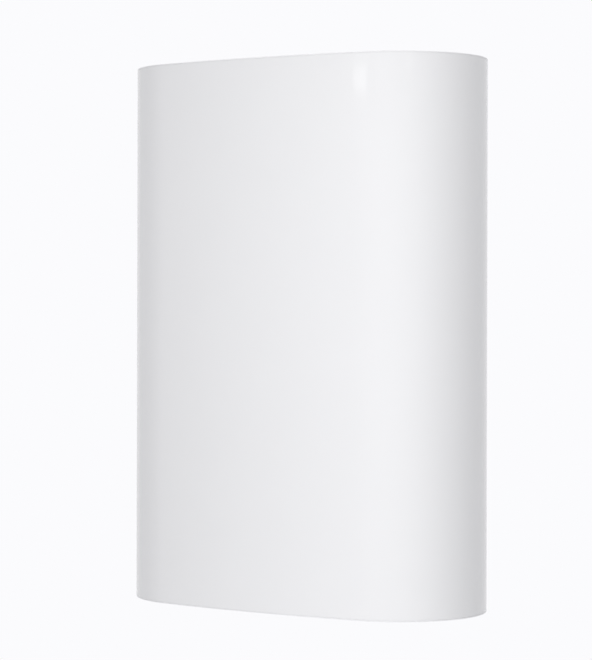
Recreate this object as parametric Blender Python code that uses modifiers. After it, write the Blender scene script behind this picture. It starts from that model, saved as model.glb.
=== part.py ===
"""Wall-hung flat indirect water heater with two stainless tanks, heated by a coil in each.

Run with: blender --background --python part.py
Units are metres, +Z is up, the front faces -Y and the wall is the plane Y = 0.
The origin is the middle of the upper hanging rail, on the wall.
"""

import math

import bmesh
import bpy
from mathutils import Vector

# General fits and fineness
CLEARANCE = 0.0003
OVERRUN = 0.004
MERGE_DISTANCE = 0.00005
ROUND_STEPS = 16
SMALL_STEPS = 12
STUB_STEPS = 16
SMOOTH_ANGLE = math.radians(35)

# Casing outline, seen from above
HEIGHT = 0.930
FRONT_CROWN = 0.011
WALL_GAP = 0.014
RAIL_DROP = 0.150
END_STEPS = 18
FRONT_STEPS = 6

# Jacket and caps
SHEET = 0.0008
SEAM_GAP = 0.0006
CAP_WALL = 0.0025
EDGE_RADIUS = 0.0016
CAP_LIP = 0.0006
EDGE_STEPS = 3
SPIGOT = 0.018
RECESS_DEPTH = 0.055
RECESS_INSET = 0.022
RECESS_DRAFT = 0.003
RECESS_EDGE = 0.003
STRIP_WIDTH = 0.026
STRIP_HEM = 0.008
STRIP_RISE = 0.0010
STRIP_MARGIN = 0.012
CAP_SCREW_X = 0.120
CAP_SCREW_HEAD = 0.0036
CAP_SCREW_RADIUS = 0.0017
SCREW_HEAD_HEIGHT = 0.0022
HEAD_TOP_SHARE = 0.6
HEAD_RIM_SHARE = 0.45

# Tanks
TANK_RADIUS = 0.131
TANK_GAP = 0.018
SIDE_FOAM = 0.062
FACE_FOAM = 0.027
TANK_WALL = 0.0015
HEAD_DEPTH = 0.040
HEAD_STEPS = 4
TANK_STEPS = 20
TOP_FOAM = 0.036
BASE_SPACE = 0.050
WELL_GAP = 0.0047
CHANNEL_FRONT = 0.069
CHANNEL_BACK = 0.030
WELL_STEPS = 18
WELL_TURN_SHARE = 0.25

# Pipes inside the tanks
PIPE_RADIUS = 0.010
PIPE_WALL = 0.0010
BEND_RADIUS = 0.020
BEND_STEPS = 4
COIL_BEND = 0.0112
LINK_BEND = 0.015
PIPE_SIDES_LEVEL = 1
WIRE_SIDES_LEVEL = 0
COIL_LEAD = 0.022
COIL_RISE = 0.040
COIL_PITCH = 0.046
COIL_TURNS = 5
COIL_POINTS = 10
LEG_GAP = 0.0070
PORT_ROW = 0.050
STUB_PITCH = 0.046
LINK_ROW = 0.045
TRANSFER_X = 0.050
TRANSFER_RADIUS = 0.009
UNDER_BEND = 0.032
TUBE_EXIT = 0.012
TOP_INTAKE = 0.016
STANDPIPE_RADIUS = 0.009
INLET_RISE = 0.026
DIFFUSER_RADIUS = 0.020
DIFFUSER_HEIGHT = 0.010
DIFFUSER_WALL = 0.0012
DIFFUSER_HOLE = 0.004

# Connection stubs in the recess
STUB_END = 0.012
STUB_SOCKET = 0.020
STUB_TOP = 0.034
COLLAR_HEIGHT = 0.008
COLLAR_RADIUS = 0.0175
THREAD_LARGE = 0.0132
THREAD_SMALL = 0.0105
BORE_LARGE = 0.0090
BORE_SMALL = 0.0075
SOCKET_WALL = 0.0030
THREAD_CHAMFER = 0.0012
RING_WIDTH = 0.0075
RING_HEIGHT = 0.0025

# Anodes
ANODE_THREAD = 0.0166
ANODE_NECK = 0.020
ANODE_SHANK = 0.016
ANODE_ROD_RADIUS = 0.011
ANODE_ROD_LENGTH = 0.300
ANODE_HEX_RADIUS = 0.0200
ANODE_HEX_HEIGHT = 0.009
SEAL_HEIGHT = 0.0015
SEAL_LIP = 0.0008
ACCESS_RADIUS = 0.0270
ACCESS_LIP = 0.0030
ACCESS_SKIRT = 0.0090
ACCESS_WALL = 0.0018

# Hanging rails
RAIL_SHEET = 0.0025
RAIL_HEIGHT = 0.045
LOW_RAIL_RISE = 0.0725
RAIL_FOOT = 0.022
RAIL_JOG = 0.012
SLOT_X = 0.070
SLOT_LENGTH = 0.040
SLOT_HEIGHT = 0.013
BOSS_RADIUS = 0.011
BOLT_RADIUS = 0.0040
BOLT_LENGTH = 0.022
BOLT_HEAD_RADIUS = 0.0075
BOLT_HEAD_HEIGHT = 0.0055
BOLT_FLANGE_RADIUS = 0.0095
BOLT_FLANGE_HEIGHT = 0.0012

# Service cover and the controls under it
COVER_WIDTH = 0.180
COVER_DEPTH = 0.110
COVER_HEIGHT = 0.037
COVER_WALL = 0.0020
COVER_CORNER = 0.008
COVER_CORNER_STEPS = 2
COVER_FRONT_GAP = 0.014
POST_X = 0.076
POST_RADIUS = 0.0050
COVER_SCREW_RADIUS = 0.0017
COVER_SCREW_HEAD = 0.0036
COVER_SCREW_BITE = 0.012
DIAL_X = 0.046
KNOB_RADIUS = 0.019
KNOB_HEIGHT = 0.0125
KNOB_SKIRT = 0.003
KNOB_SKIRT_HEIGHT = 0.0025
KNOB_GRIP_WIDTH = 0.007
KNOB_CHAMFER = 0.0010
KNOB_REST = math.radians(45)
SPINDLE_RADIUS = 0.0030
SPINDLE_BITE = 0.007
THERMOSTAT_WIDTH = 0.040
THERMOSTAT_DEPTH = 0.036
THERMOSTAT_DROP = 0.026
THERMOSTAT_SOCKET = 0.010
LIMITER_RADIUS = 0.0090
LIMITER_DROP = 0.028
BUTTON_RADIUS = 0.0028
BUTTON_LENGTH = 0.009
BUTTON_TRAVEL = 0.0020
BUTTON_SINK = 0.0008
BUTTON_ROW = 0.026
TERMINAL_WIDTH = 0.050
TERMINAL_DEPTH = 0.018
TERMINAL_HEIGHT = 0.018
GLAND_ROW = 0.030
GLAND_RADIUS = 0.0080
GLAND_BORE = 0.0042
GLAND_HEX = 0.0110
GLAND_HEX_HEIGHT = 0.0040
GLAND_DROP = 0.0080
GLAND_RISE = 0.0080
GLAND_NUT_HEIGHT = 0.0040

# Dial thermometer
GAUGE_RADIUS = 0.0220
GAUGE_WALL = 0.0012
GAUGE_DEPTH = 0.019
GAUGE_FLANGE = 0.0030
GAUGE_FLANGE_HEIGHT = 0.0028
GAUGE_LEDGE = 0.0015
DIAL_PLATE = 0.0010
DIAL_RISE = 0.0070
NEEDLE_LENGTH = 0.0160
NEEDLE_TAIL = 0.0050
NEEDLE_WIDTH = 0.0014
NEEDLE_HUB = 0.0022
NEEDLE_PLATE = 0.0006
NEEDLE_DROP = 0.0012
ARBOR_RADIUS = 0.0007
ARBOR_LENGTH = 0.0060
ARBOR_BEARING = 0.0022
LENS_PLATE = 0.0014
NEEDLE_REST = math.radians(-170)
BLADE_SHARES = (0.2, 0.8)
BLADE_TIP_SHARE = 0.33

# Sensor pocket and capillaries
POCKET_ROW = 0.050
POCKET_RADIUS = 0.0075
POCKET_WALL = 0.0010
POCKET_LENGTH = 0.290
POCKET_DROP = 0.010
CAPILLARY_RADIUS = 0.0011
BULB_RADIUS = 0.0026
BULB_LENGTH = 0.080
BULB_OFFSET = 0.0032
CAPILLARY_BEND = 0.004
CAPILLARY_RISE = 0.007
CAPILLARY_DROP = 0.006
CAPILLARY_LEAD = 0.010
CAPILLARY_BACK = 0.046
GROMMET_X = 0.074
GROMMET_RADIUS = 0.0065

# Overall sizes, from the tanks and the foam round them
WIDTH = 4 * TANK_RADIUS + TANK_GAP + 2 * SIDE_FOAM
DEPTH = 2 * (TANK_RADIUS + FACE_FOAM)

# Heights, from the driving sizes
CAP_RIM = EDGE_RADIUS + CAP_LIP
RIM_Z = RAIL_DROP - HEIGHT
TOP_Z = RAIL_DROP
CEILING_Z = RIM_Z + RECESS_DEPTH
PANEL_Z = CEILING_Z + CAP_WALL
TANK_LOW_Z = PANEL_Z + BASE_SPACE
TANK_HIGH_Z = TOP_Z - CAP_WALL - TOP_FOAM
COVER_Z = CEILING_Z - CLEARANCE - COVER_HEIGHT
LOW_RAIL_Z = TANK_LOW_Z + HEAD_DEPTH + LOW_RAIL_RISE

# Plan positions, from the driving sizes
BACK_Y = -WALL_GAP
FRONT_Y = BACK_Y - DEPTH
END_RADIUS = (DEPTH - FRONT_CROWN) / 2
END_X = WIDTH / 2 - END_RADIUS
END_Y = BACK_Y - END_RADIUS
FRONT_RADIUS = (END_X**2 + DEPTH**2 - 2 * DEPTH * END_RADIUS) / (2 * FRONT_CROWN)
FRONT_ANGLE = math.asin(END_X / (FRONT_RADIUS - END_RADIUS))
TANK_X = TANK_RADIUS + TANK_GAP / 2
TANK_Y = BACK_Y - DEPTH / 2
SPIGOT_INSET = SHEET + CLEARANCE
LEG_RADIUS = math.hypot(STUB_PITCH, PORT_ROW)
LINK_X = math.sqrt(LEG_RADIUS**2 - LINK_ROW**2)
COIL_RADIUS = LEG_RADIUS + 2 * PIPE_RADIUS + LEG_GAP
EXIT_RADIUS = math.hypot(COIL_RADIUS, COIL_LEAD)
PORT_EXIT_X = math.sqrt(EXIT_RADIUS**2 - PORT_ROW**2)
LINK_EXIT_X = math.sqrt(EXIT_RADIUS**2 - LINK_ROW**2)
WELL_RADIUS = EXIT_RADIUS + COLLAR_RADIUS + WELL_GAP
COVER_FRONT_Y = FRONT_Y + RECESS_INSET + RECESS_DRAFT + COVER_FRONT_GAP
COVER_Y = COVER_FRONT_Y + COVER_DEPTH / 2
RAIL_FACE_Y = BACK_Y + CLEARANCE + RAIL_SHEET

# Collections
for old in list(bpy.data.objects):
    bpy.data.objects.remove(old, do_unlink=True)
PARTS = bpy.data.collections.new("indirect_water_heater")
CUTTERS = bpy.data.collections.new("cutters")
for group in (PARTS, CUTTERS):
    bpy.context.scene.collection.children.link(group)


# Materials
def finish(name, colour, roughness, metallic=0.0, alpha=1.0):
    """A plain surface finish."""
    made = bpy.data.materials.new(name)
    made.use_nodes = True
    shader = made.node_tree.nodes["Principled BSDF"]
    shader.inputs["Base Color"].default_value = (*colour, 1.0)
    shader.inputs["Roughness"].default_value = roughness
    shader.inputs["Metallic"].default_value = metallic
    shader.inputs["Alpha"].default_value = alpha
    return made


WHITE_ENAMEL = finish("white_enamel", (0.86, 0.86, 0.87), 0.22)
WHITE_PLASTIC = finish("white_plastic", (0.84, 0.84, 0.85), 0.32)
GREY_PLASTIC = finish("grey_plastic", (0.30, 0.31, 0.32), 0.5)
BLACK_PLASTIC = finish("black_plastic", (0.04, 0.04, 0.045), 0.5)
RED_PLASTIC = finish("red_plastic", (0.65, 0.05, 0.04), 0.4)
BLUE_PLASTIC = finish("blue_plastic", (0.04, 0.14, 0.55), 0.4)
YELLOW_FOAM = finish("yellow_foam", (0.86, 0.74, 0.42), 0.95)
STAINLESS = finish("stainless", (0.62, 0.62, 0.63), 0.3, 1.0)
ZINC_STEEL = finish("zinc_steel", (0.60, 0.61, 0.63), 0.4, 1.0)
BRASS = finish("brass", (0.78, 0.62, 0.32), 0.35, 1.0)
COPPER = finish("copper", (0.80, 0.45, 0.30), 0.35, 1.0)
MAGNESIUM = finish("magnesium", (0.55, 0.56, 0.57), 0.6, 1.0)
BLACK_RUBBER = finish("black_rubber", (0.03, 0.03, 0.03), 0.8)
DIAL_WHITE = finish("dial_white", (0.88, 0.88, 0.88), 0.5)
CLEAR_LENS = finish("clear_lens", (0.95, 0.97, 0.97), 0.05, 0.0, 0.3)


# Building tools
def add_object(name, mesh, material=None, cutter=False):
    """Links a mesh or curve as a part, or as a hidden cutter."""
    made = bpy.data.objects.new(name, mesh)
    if cutter:
        CUTTERS.objects.link(made)
        made.hide_render = True
        made.display_type = "WIRE"
    else:
        PARTS.objects.link(made)
        mesh.materials.append(material)
    return made


def smooth(mesh):
    """Round faces shade smooth and sharp corners stay sharp."""
    mesh.shade_smooth()
    mesh.set_sharp_from_angle(angle=SMOOTH_ANGLE)


def mesh_from(name, build):
    """A mesh that the given function builds in a bmesh."""
    mesh = bpy.data.meshes.new(name)
    work = bmesh.new()
    build(work)
    work.to_mesh(mesh)
    work.free()
    smooth(mesh)
    return mesh


def add_solidify(part, thickness, offset=-1.0):
    """Gives an open surface its wall."""
    wall = part.modifiers.new("wall", "SOLIDIFY")
    wall.thickness = thickness
    wall.offset = offset
    wall.use_even_offset = True


def add_bevel(part, width, segments, angle=math.radians(30)):
    """Rounds the edges that turn by more than the angle."""
    edge = part.modifiers.new("edge", "BEVEL")
    edge.width = width
    edge.segments = segments
    edge.limit_method = "ANGLE"
    edge.angle_limit = angle


def combine(part, others, operation="DIFFERENCE"):
    """Cuts the part with the others, or joins them to it."""
    for other in others:
        step = part.modifiers.new(operation.lower(), "BOOLEAN")
        step.operation = operation
        step.object = other


def box_mesh(name, low, high):
    """A box between two corners."""

    def build(work):
        bmesh.ops.create_cube(work, size=1.0)
        middle = (Vector(low) + Vector(high)) / 2
        size = Vector(high) - Vector(low)
        for vert in work.verts:
            vert.co = Vector(a * b for a, b in zip(vert.co, size)) + middle

    return mesh_from(name, build)


def round_mesh(name, radius, low, high, steps=SMALL_STEPS):
    """A cylinder on the Z axis between two heights."""

    def build(work):
        bmesh.ops.create_cone(
            work, cap_ends=True, segments=steps, radius1=radius, radius2=radius, depth=high - low
        )
        bmesh.ops.translate(work, vec=(0, 0, (low + high) / 2), verts=work.verts)

    return mesh_from(name, build)


def box(name, low, high, material=None, cutter=False):
    return add_object(name, box_mesh(name, low, high), material, cutter)


def upright(name, radius, place, low, high, material=None, cutter=False, steps=SMALL_STEPS):
    """An upright cylinder at a plan position."""
    made = add_object(name, round_mesh(name, radius, low, high, steps), material, cutter)
    made.location = (place[0], place[1], 0)
    return made


def rearward(name, radius, x, z, front, back, steps=SMALL_STEPS):
    """A cutter that runs along Y from front to back."""
    made = add_object(name, round_mesh(name, radius, -back, -front, steps), None, True)
    made.rotation_euler = (math.radians(90), 0, 0)
    made.location = (x, 0, z)
    return made


def turned(name, profile, material=None, place=(0, 0), steps=ROUND_STEPS, ring=False, cutter=False):
    """A turned piece. The profile is (radius, height) pairs, down its outer side; a ring's is closed."""
    mesh = bpy.data.meshes.new(name)
    points = [(radius, 0, height) for radius, height in profile]
    edges = [(i, i + 1) for i in range(len(points) - 1)]
    if ring:
        edges.append((len(points) - 1, 0))
    mesh.from_pydata(points, edges, [])
    made = add_object(name, mesh, material, cutter)
    made.location = (place[0], place[1], 0)
    spin = made.modifiers.new("spin", "SCREW")
    spin.angle = math.tau
    spin.steps = steps
    spin.render_steps = steps
    spin.use_merge_vertices = True
    spin.merge_threshold = MERGE_DISTANCE
    spin.use_smooth_shade = True
    return made


def arc(centre, radius, start, end, steps):
    """Points on a circle, from one angle to another."""
    return [
        (
            centre[0] + radius * math.cos(start + (end - start) * i / steps),
            centre[1] + radius * math.sin(start + (end - start) * i / steps),
        )
        for i in range(steps + 1)
    ]


def casing_outline(inset):
    """The casing seen from above, anticlockwise from the back of the left end, moved in by the inset."""
    right, quarter = math.tau / 4, math.tau / 4
    end = END_RADIUS - inset
    left_end = arc((-END_X, END_Y), end, right, 3 * quarter - FRONT_ANGLE, END_STEPS)
    front = arc(
        (0, FRONT_Y + FRONT_RADIUS),
        FRONT_RADIUS - inset,
        3 * quarter - FRONT_ANGLE,
        3 * quarter + FRONT_ANGLE,
        FRONT_STEPS,
    )
    right_end = arc((END_X, END_Y), end, 3 * quarter + FRONT_ANGLE, 5 * quarter, END_STEPS)
    return left_end + front[1:-1] + right_end


def casing_loft(name, stations, material=None, cutter=False):
    """A solid whose profile, (inset, height) pairs, runs round the casing, with both ends closed."""

    def build(work):
        loops = [
            [work.verts.new((x, y, height)) for x, y in casing_outline(inset)]
            for inset, height in stations
        ]
        count = len(loops[0])
        for lower, upper in zip(loops, loops[1:]):
            for i in range(count):
                j = (i + 1) % count
                work.faces.new((lower[i], lower[j], upper[j], upper[i]))
        work.faces.new(loops[-1])
        work.faces.new(loops[0][::-1])
        bmesh.ops.recalc_face_normals(work, faces=work.faces)

    return add_object(name, mesh_from(name, build), material, cutter)


def rounded_route(corners, radius):
    """A pipe's route through corner points, each corner turned into an arc of bends."""
    points = [Vector(corners[0])]
    for before, corner, after in zip(corners, corners[1:], corners[2:]):
        back = (Vector(before) - Vector(corner)).normalized()
        ahead = (Vector(after) - Vector(corner)).normalized()
        half = back.angle(ahead) / 2
        reach = radius / math.tan(half)
        centre = Vector(corner) + (back + ahead).normalized() * radius / math.sin(half)
        start, end = Vector(corner) + back * reach, Vector(corner) + ahead * reach
        for i in range(BEND_STEPS + 1):
            spoke = (start - centre).slerp(end - centre, i / BEND_STEPS)
            points.append(centre + radius * spoke)
    points.append(Vector(corners[-1]))
    return points


def route_curve(name, points, radius, sides_level, radii=None, capped=True):
    """A tube along the points, as a curve."""
    curve = bpy.data.curves.new(name, "CURVE")
    curve.dimensions = "3D"
    curve.bevel_depth = radius
    curve.bevel_resolution = sides_level
    curve.use_fill_caps = capped
    line = curve.splines.new("POLY")
    line.points.add(len(points) - 1)
    for i, point in enumerate(points):
        line.points[i].co = (*point, 1.0)
        line.points[i].radius = radii[i] if radii else 1.0
    return curve


def hollow_pipe(name, points, radius, wall, material):
    """An open-ended pipe: the curve's surface, made a mesh and given a wall."""
    curve = bpy.data.objects.new(name, route_curve(name, points, radius, PIPE_SIDES_LEVEL, capped=False))
    bpy.context.scene.collection.objects.link(curve)
    mesh = bpy.data.meshes.new_from_object(curve.evaluated_get(bpy.context.evaluated_depsgraph_get()))
    bpy.data.objects.remove(curve)
    work = bmesh.new()
    work.from_mesh(mesh)
    bmesh.ops.remove_doubles(work, verts=work.verts, dist=MERGE_DISTANCE)
    bmesh.ops.recalc_face_normals(work, faces=work.faces)
    work.to_mesh(mesh)
    work.free()
    mesh.name = name
    smooth(mesh)
    made = add_object(name, mesh, material)
    add_solidify(made, wall)
    return made


# Casing
def make_jacket():
    """The painted sheet wrapped round the heater, with its joint down the middle of the back."""
    outline = casing_outline(0)
    outline = [(-SEAM_GAP / 2, BACK_Y)] + outline + [(SEAM_GAP / 2, BACK_Y)]
    low = RIM_Z + CAP_RIM + CLEARANCE
    high = TOP_Z - CAP_RIM - CLEARANCE

    def build(work):
        rows = [[work.verts.new((x, y, z)) for x, y in outline] for z in (low, high)]
        for i in range(len(outline) - 1):
            work.faces.new((rows[0][i], rows[0][i + 1], rows[1][i + 1], rows[1][i]))

    jacket = add_object("jacket", mesh_from("jacket", build), WHITE_ENAMEL)
    add_solidify(jacket, SHEET)
    cutters = []
    for x in (-TANK_X, TANK_X):
        for z in (0, LOW_RAIL_Z):
            cutters.append(
                rearward("bolt_hole", BOLT_RADIUS + CLEARANCE, x, z, BACK_Y - OVERRUN, BACK_Y + OVERRUN)
            )
    cutters += cap_screw_holes(TOP_Z - CAP_RIM - SPIGOT / 2)
    cutters += cap_screw_holes(RIM_Z + CAP_RIM + SPIGOT / 2)
    combine(jacket, cutters)


def cap_screw_holes(z):
    """Holes for the two screws that hold a cap, through the back."""
    reach = SHEET + CLEARANCE + CAP_WALL + OVERRUN
    radius = CAP_SCREW_RADIUS + CLEARANCE
    return [
        rearward("screw_hole", radius, x, z, BACK_Y - reach, BACK_Y + OVERRUN)
        for x in (-CAP_SCREW_X, CAP_SCREW_X)
    ]


def make_seam_strip():
    """The folded strip that locks the jacket's joint, with a raised middle."""
    half, hem = STRIP_WIDTH / 2, STRIP_HEM / 2
    foot = BACK_Y + CLEARANCE + SHEET
    ridge = foot + STRIP_RISE
    path = [(half, foot), (hem + STRIP_RISE, foot), (hem, ridge)]
    path += [(-x, y) for x, y in path[::-1]]
    low = RIM_Z + CAP_RIM + STRIP_MARGIN
    high = TOP_Z - CAP_RIM - STRIP_MARGIN

    def build(work):
        rows = [[work.verts.new((x, y, z)) for x, y in path] for z in (low, high)]
        for i in range(len(path) - 1):
            work.faces.new((rows[0][i], rows[0][i + 1], rows[1][i + 1], rows[1][i]))

    strip = add_object("jacket_seam_strip", mesh_from("jacket_seam_strip", build), WHITE_ENAMEL)
    add_solidify(strip, SHEET)


def edge_stations(sign, base):
    """The rounded outer edge of a cap, from its flat face to its side."""
    return [
        (EDGE_RADIUS * (1 - math.sin(a)), base - sign * EDGE_RADIUS * (1 - math.cos(a)))
        for a in (math.tau / 4 * i / EDGE_STEPS for i in range(EDGE_STEPS + 1))
    ]


def make_top_cap():
    """The moulded lid: its rim is flush with the jacket and its spigot fits inside it."""
    ledge = TOP_Z - CAP_RIM
    stations = edge_stations(1, TOP_Z)
    stations += [
        (0, ledge),
        (SPIGOT_INSET, ledge),
        (SPIGOT_INSET, ledge - SPIGOT),
        (SPIGOT_INSET + CAP_WALL, ledge - SPIGOT),
        (SPIGOT_INSET + CAP_WALL, TOP_Z - CAP_WALL),
    ]
    cap = casing_loft("top_cap", stations, WHITE_PLASTIC)
    combine(cap, cap_screw_holes(ledge - SPIGOT / 2))


def make_bottom_cap():
    """The moulded base: a rim, a deep recess that hides the connections, and two posts for the cover."""
    ledge = RIM_Z + CAP_RIM
    stations = [
        (RECESS_INSET + RECESS_DRAFT, CEILING_Z),
        (RECESS_INSET, RIM_Z + RECESS_EDGE),
        (RECESS_INSET - RECESS_EDGE, RIM_Z),
    ]
    stations += edge_stations(-1, RIM_Z)
    stations += [
        (0, ledge),
        (SPIGOT_INSET, ledge),
        (SPIGOT_INSET, ledge + SPIGOT),
        (SPIGOT_INSET + CAP_WALL, ledge + SPIGOT),
        (SPIGOT_INSET + CAP_WALL, RIM_Z + CAP_WALL),
        (RECESS_INSET - RECESS_EDGE - CAP_WALL, RIM_Z + CAP_WALL),
        (RECESS_INSET - CAP_WALL, RIM_Z + RECESS_EDGE + CAP_WALL),
        (RECESS_INSET + RECESS_DRAFT - CAP_WALL, PANEL_Z),
    ]
    cap = casing_loft("bottom_cap", stations, WHITE_PLASTIC)
    low, high = CEILING_Z - OVERRUN, PANEL_Z + OVERRUN
    cutters = cap_screw_holes(ledge + SPIGOT / 2)
    for name, place, thread, _, _ in stub_table():
        radius = thread + CLEARANCE
        cutters.append(upright(name + "_hole", radius, place, low, high, cutter=True, steps=STUB_STEPS))
    for x in (-TANK_X, TANK_X):
        radius, place = ACCESS_RADIUS - ACCESS_LIP, (x, TANK_Y)
        cutters.append(upright("access_hole", radius, place, low, high, cutter=True, steps=ROUND_STEPS))
    cutters.append(upright("grommet_hole", GROMMET_RADIUS, grommet_place(), low, high, cutter=True))
    posts = []
    for x in (-POST_X, POST_X):
        foot = COVER_Z + COVER_WALL + CLEARANCE
        root = PANEL_Z - CAP_WALL / 2
        posts.append(upright("cover_post", POST_RADIUS, (x, COVER_Y), foot, root, cutter=True))
        top = foot + COVER_SCREW_BITE
        radius = COVER_SCREW_RADIUS + CLEARANCE
        cutters.append(upright("post_hole", radius, (x, COVER_Y), foot - OVERRUN, top, cutter=True))
    combine(cap, posts, "UNION")
    combine(cap, cutters)


def make_cap_screws():
    """Four small pan-head screws at the back, two for each cap."""
    length = SHEET + CLEARANCE + CAP_WALL
    heights = {"top": TOP_Z - CAP_RIM - SPIGOT / 2, "bottom": RIM_Z + CAP_RIM + SPIGOT / 2}
    for level, z in heights.items():
        for side, x in (("left", -CAP_SCREW_X), ("right", CAP_SCREW_X)):
            screw = turned(
                f"cap_screw_{level}_{side}",
                pan_head(CAP_SCREW_HEAD, SCREW_HEAD_HEIGHT, CAP_SCREW_RADIUS, length),
                ZINC_STEEL,
                steps=SMALL_STEPS,
            )
            screw.rotation_euler = (math.radians(-90), 0, 0)
            screw.location = (x, BACK_Y + CLEARANCE, z)


def pan_head(head, head_height, shank, length):
    """A screw's profile, head up, with the seat of its head at height zero."""
    return [
        (0, head_height),
        (head * HEAD_TOP_SHARE, head_height),
        (head, head_height * HEAD_RIM_SHARE),
        (head, 0),
        (shank, 0),
        (shank, -length),
        (0, -length),
    ]


def make_foam():
    """The foam round both tanks, with a well under each for the fittings and a channel between them."""
    inner = SPIGOT_INSET + CAP_WALL + CLEARANCE
    step = TOP_Z - CAP_RIM - SPIGOT - CLEARANCE
    high = TOP_Z - CAP_WALL - CLEARANCE
    stations = [
        (SPIGOT_INSET, PANEL_Z + CLEARANCE),
        (SPIGOT_INSET, step),
        (inner, step),
        (inner, high),
    ]
    foam = casing_loft("foam_insulation", stations, YELLOW_FOAM)
    low = PANEL_Z - OVERRUN
    cutters = []
    for side, x in (("left", -TANK_X), ("right", TANK_X)):
        hole, place = tank_profile(CLEARANCE), (x, TANK_Y)
        cutters.append(turned(f"tank_space_{side}", hole, place=place, steps=TANK_STEPS, cutter=True))
        well_top = TANK_LOW_Z + HEAD_DEPTH
        well = upright(f"well_{side}", WELL_RADIUS, place, low, well_top, cutter=True, steps=WELL_STEPS)
        well.rotation_euler = (0, 0, math.tau / WELL_STEPS * WELL_TURN_SHARE)
        cutters.append(well)
        for z in (0, LOW_RAIL_Z):
            cutters.append(rearward("boss_space", BOSS_RADIUS + CLEARANCE, x, z, TANK_Y, BACK_Y + OVERRUN))
    cutters.append(
        box(
            "channel",
            (-TANK_X, TANK_Y - CHANNEL_FRONT, low),
            (TANK_X, TANK_Y + CHANNEL_BACK, TANK_LOW_Z),
            cutter=True,
        )
    )
    combine(foam, cutters)


# Tanks and what is in them
def tank_profile(grow):
    """Half of a tank's outline on its axis, top to bottom, grown outwards."""
    radius, depth = TANK_RADIUS + grow, HEAD_DEPTH + grow
    high, low = TANK_HIGH_Z - HEAD_DEPTH, TANK_LOW_Z + HEAD_DEPTH
    quarter = math.tau / 4
    angles = [quarter * i / HEAD_STEPS for i in range(HEAD_STEPS + 1)]
    top = [(radius * math.sin(a), high + depth * math.cos(a)) for a in angles]
    return top + [(r, low - (z - high)) for r, z in top[::-1]]


def make_tank(side, x, ports):
    """A welded stainless tank: an anode neck, two hanging bosses behind and a hole for each pipe."""
    neck = ANODE_THREAD + CLEARANCE + TANK_WALL
    outline = [point for point in tank_profile(0)[:-1] if point[0] > neck or point[1] > 0]
    outline[0] = (0, TANK_HIGH_Z)
    neck_z = TANK_LOW_Z - ANODE_NECK
    outline += [(neck, TANK_LOW_Z), (neck, neck_z)]
    name = f"tank_{side}"
    tank = turned(name, outline, STAINLESS, (x, TANK_Y), steps=TANK_STEPS)
    add_solidify(tank, TANK_WALL)
    bosses, cutters = [], []
    for z in (0, LOW_RAIL_Z):
        face = BACK_Y - SHEET - CLEARANCE
        root = TANK_Y + TANK_RADIUS - TANK_WALL
        bosses.append(rearward(f"{name}_boss", BOSS_RADIUS, x, z, root, face))
        end = RAIL_FACE_Y + CLEARANCE - BOLT_LENGTH - CLEARANCE
        cutters.append(rearward(f"{name}_thread", BOLT_RADIUS + CLEARANCE, x, z, end, BACK_Y))
    low, high = TANK_LOW_Z - OVERRUN, TANK_LOW_Z + HEAD_DEPTH
    for place, radius in ports:
        free = (radius + CLEARANCE) / math.cos(math.pi / STUB_STEPS)
        cutters.append(upright(f"{name}_port", free, place, low, high, cutter=True, steps=STUB_STEPS))
    combine(tank, bosses, "UNION")
    combine(tank, cutters)


def left(dx, dy):
    """A plan position from the left tank's axis."""
    return (-TANK_X + dx, TANK_Y + dy)


def right(dx, dy):
    """A plan position from the right tank's axis."""
    return (TANK_X + dx, TANK_Y + dy)


def head_z(dx, dy):
    """The height of a tank's lower head, outside, at a distance from its axis."""
    share = math.hypot(dx, dy) / TANK_RADIUS
    return TANK_LOW_Z + HEAD_DEPTH * (1 - math.sqrt(1 - share**2))


def coil_route(middle, leg, outlet, low_end_leg, low_end_outlet):
    """A coil's line: up its leg, over to the helix, down it and out through the head."""
    lead = math.atan2(COIL_LEAD, COIL_RADIUS)
    bottom = TANK_LOW_Z + HEAD_DEPTH + COIL_RISE
    top = bottom + COIL_TURNS * COIL_PITCH
    leg_angle = math.atan2(leg[1], leg[0])
    outlet_angle = math.atan2(outlet[1], outlet[0])
    start = leg_angle + lead
    sweep = (outlet_angle - lead - start) % math.tau + (COIL_TURNS - 1) * math.tau
    steps = round(sweep / math.tau * COIL_POINTS)

    def at(radius, angle, height):
        return Vector((middle[0] + radius * math.cos(angle), middle[1] + radius * math.sin(angle), height))

    helix = [
        at(COIL_RADIUS, start + sweep * i / steps, top + (bottom - top) * i / steps)
        for i in range(steps + 1)
    ]
    foot = Vector((middle[0] + leg[0], middle[1] + leg[1], low_end_leg))
    elbow = Vector((foot.x, foot.y, top))
    shoulder = at(EXIT_RADIUS, leg_angle, top)
    over = at(EXIT_RADIUS, outlet_angle, bottom)
    drop = Vector((over.x, over.y, low_end_outlet))
    rise = rounded_route([foot, elbow, shoulder, helix[0]], COIL_BEND)
    fall = rounded_route([helix[-1], over, drop], BEND_RADIUS)
    return rise[:-1] + helix + fall[1:]


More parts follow.
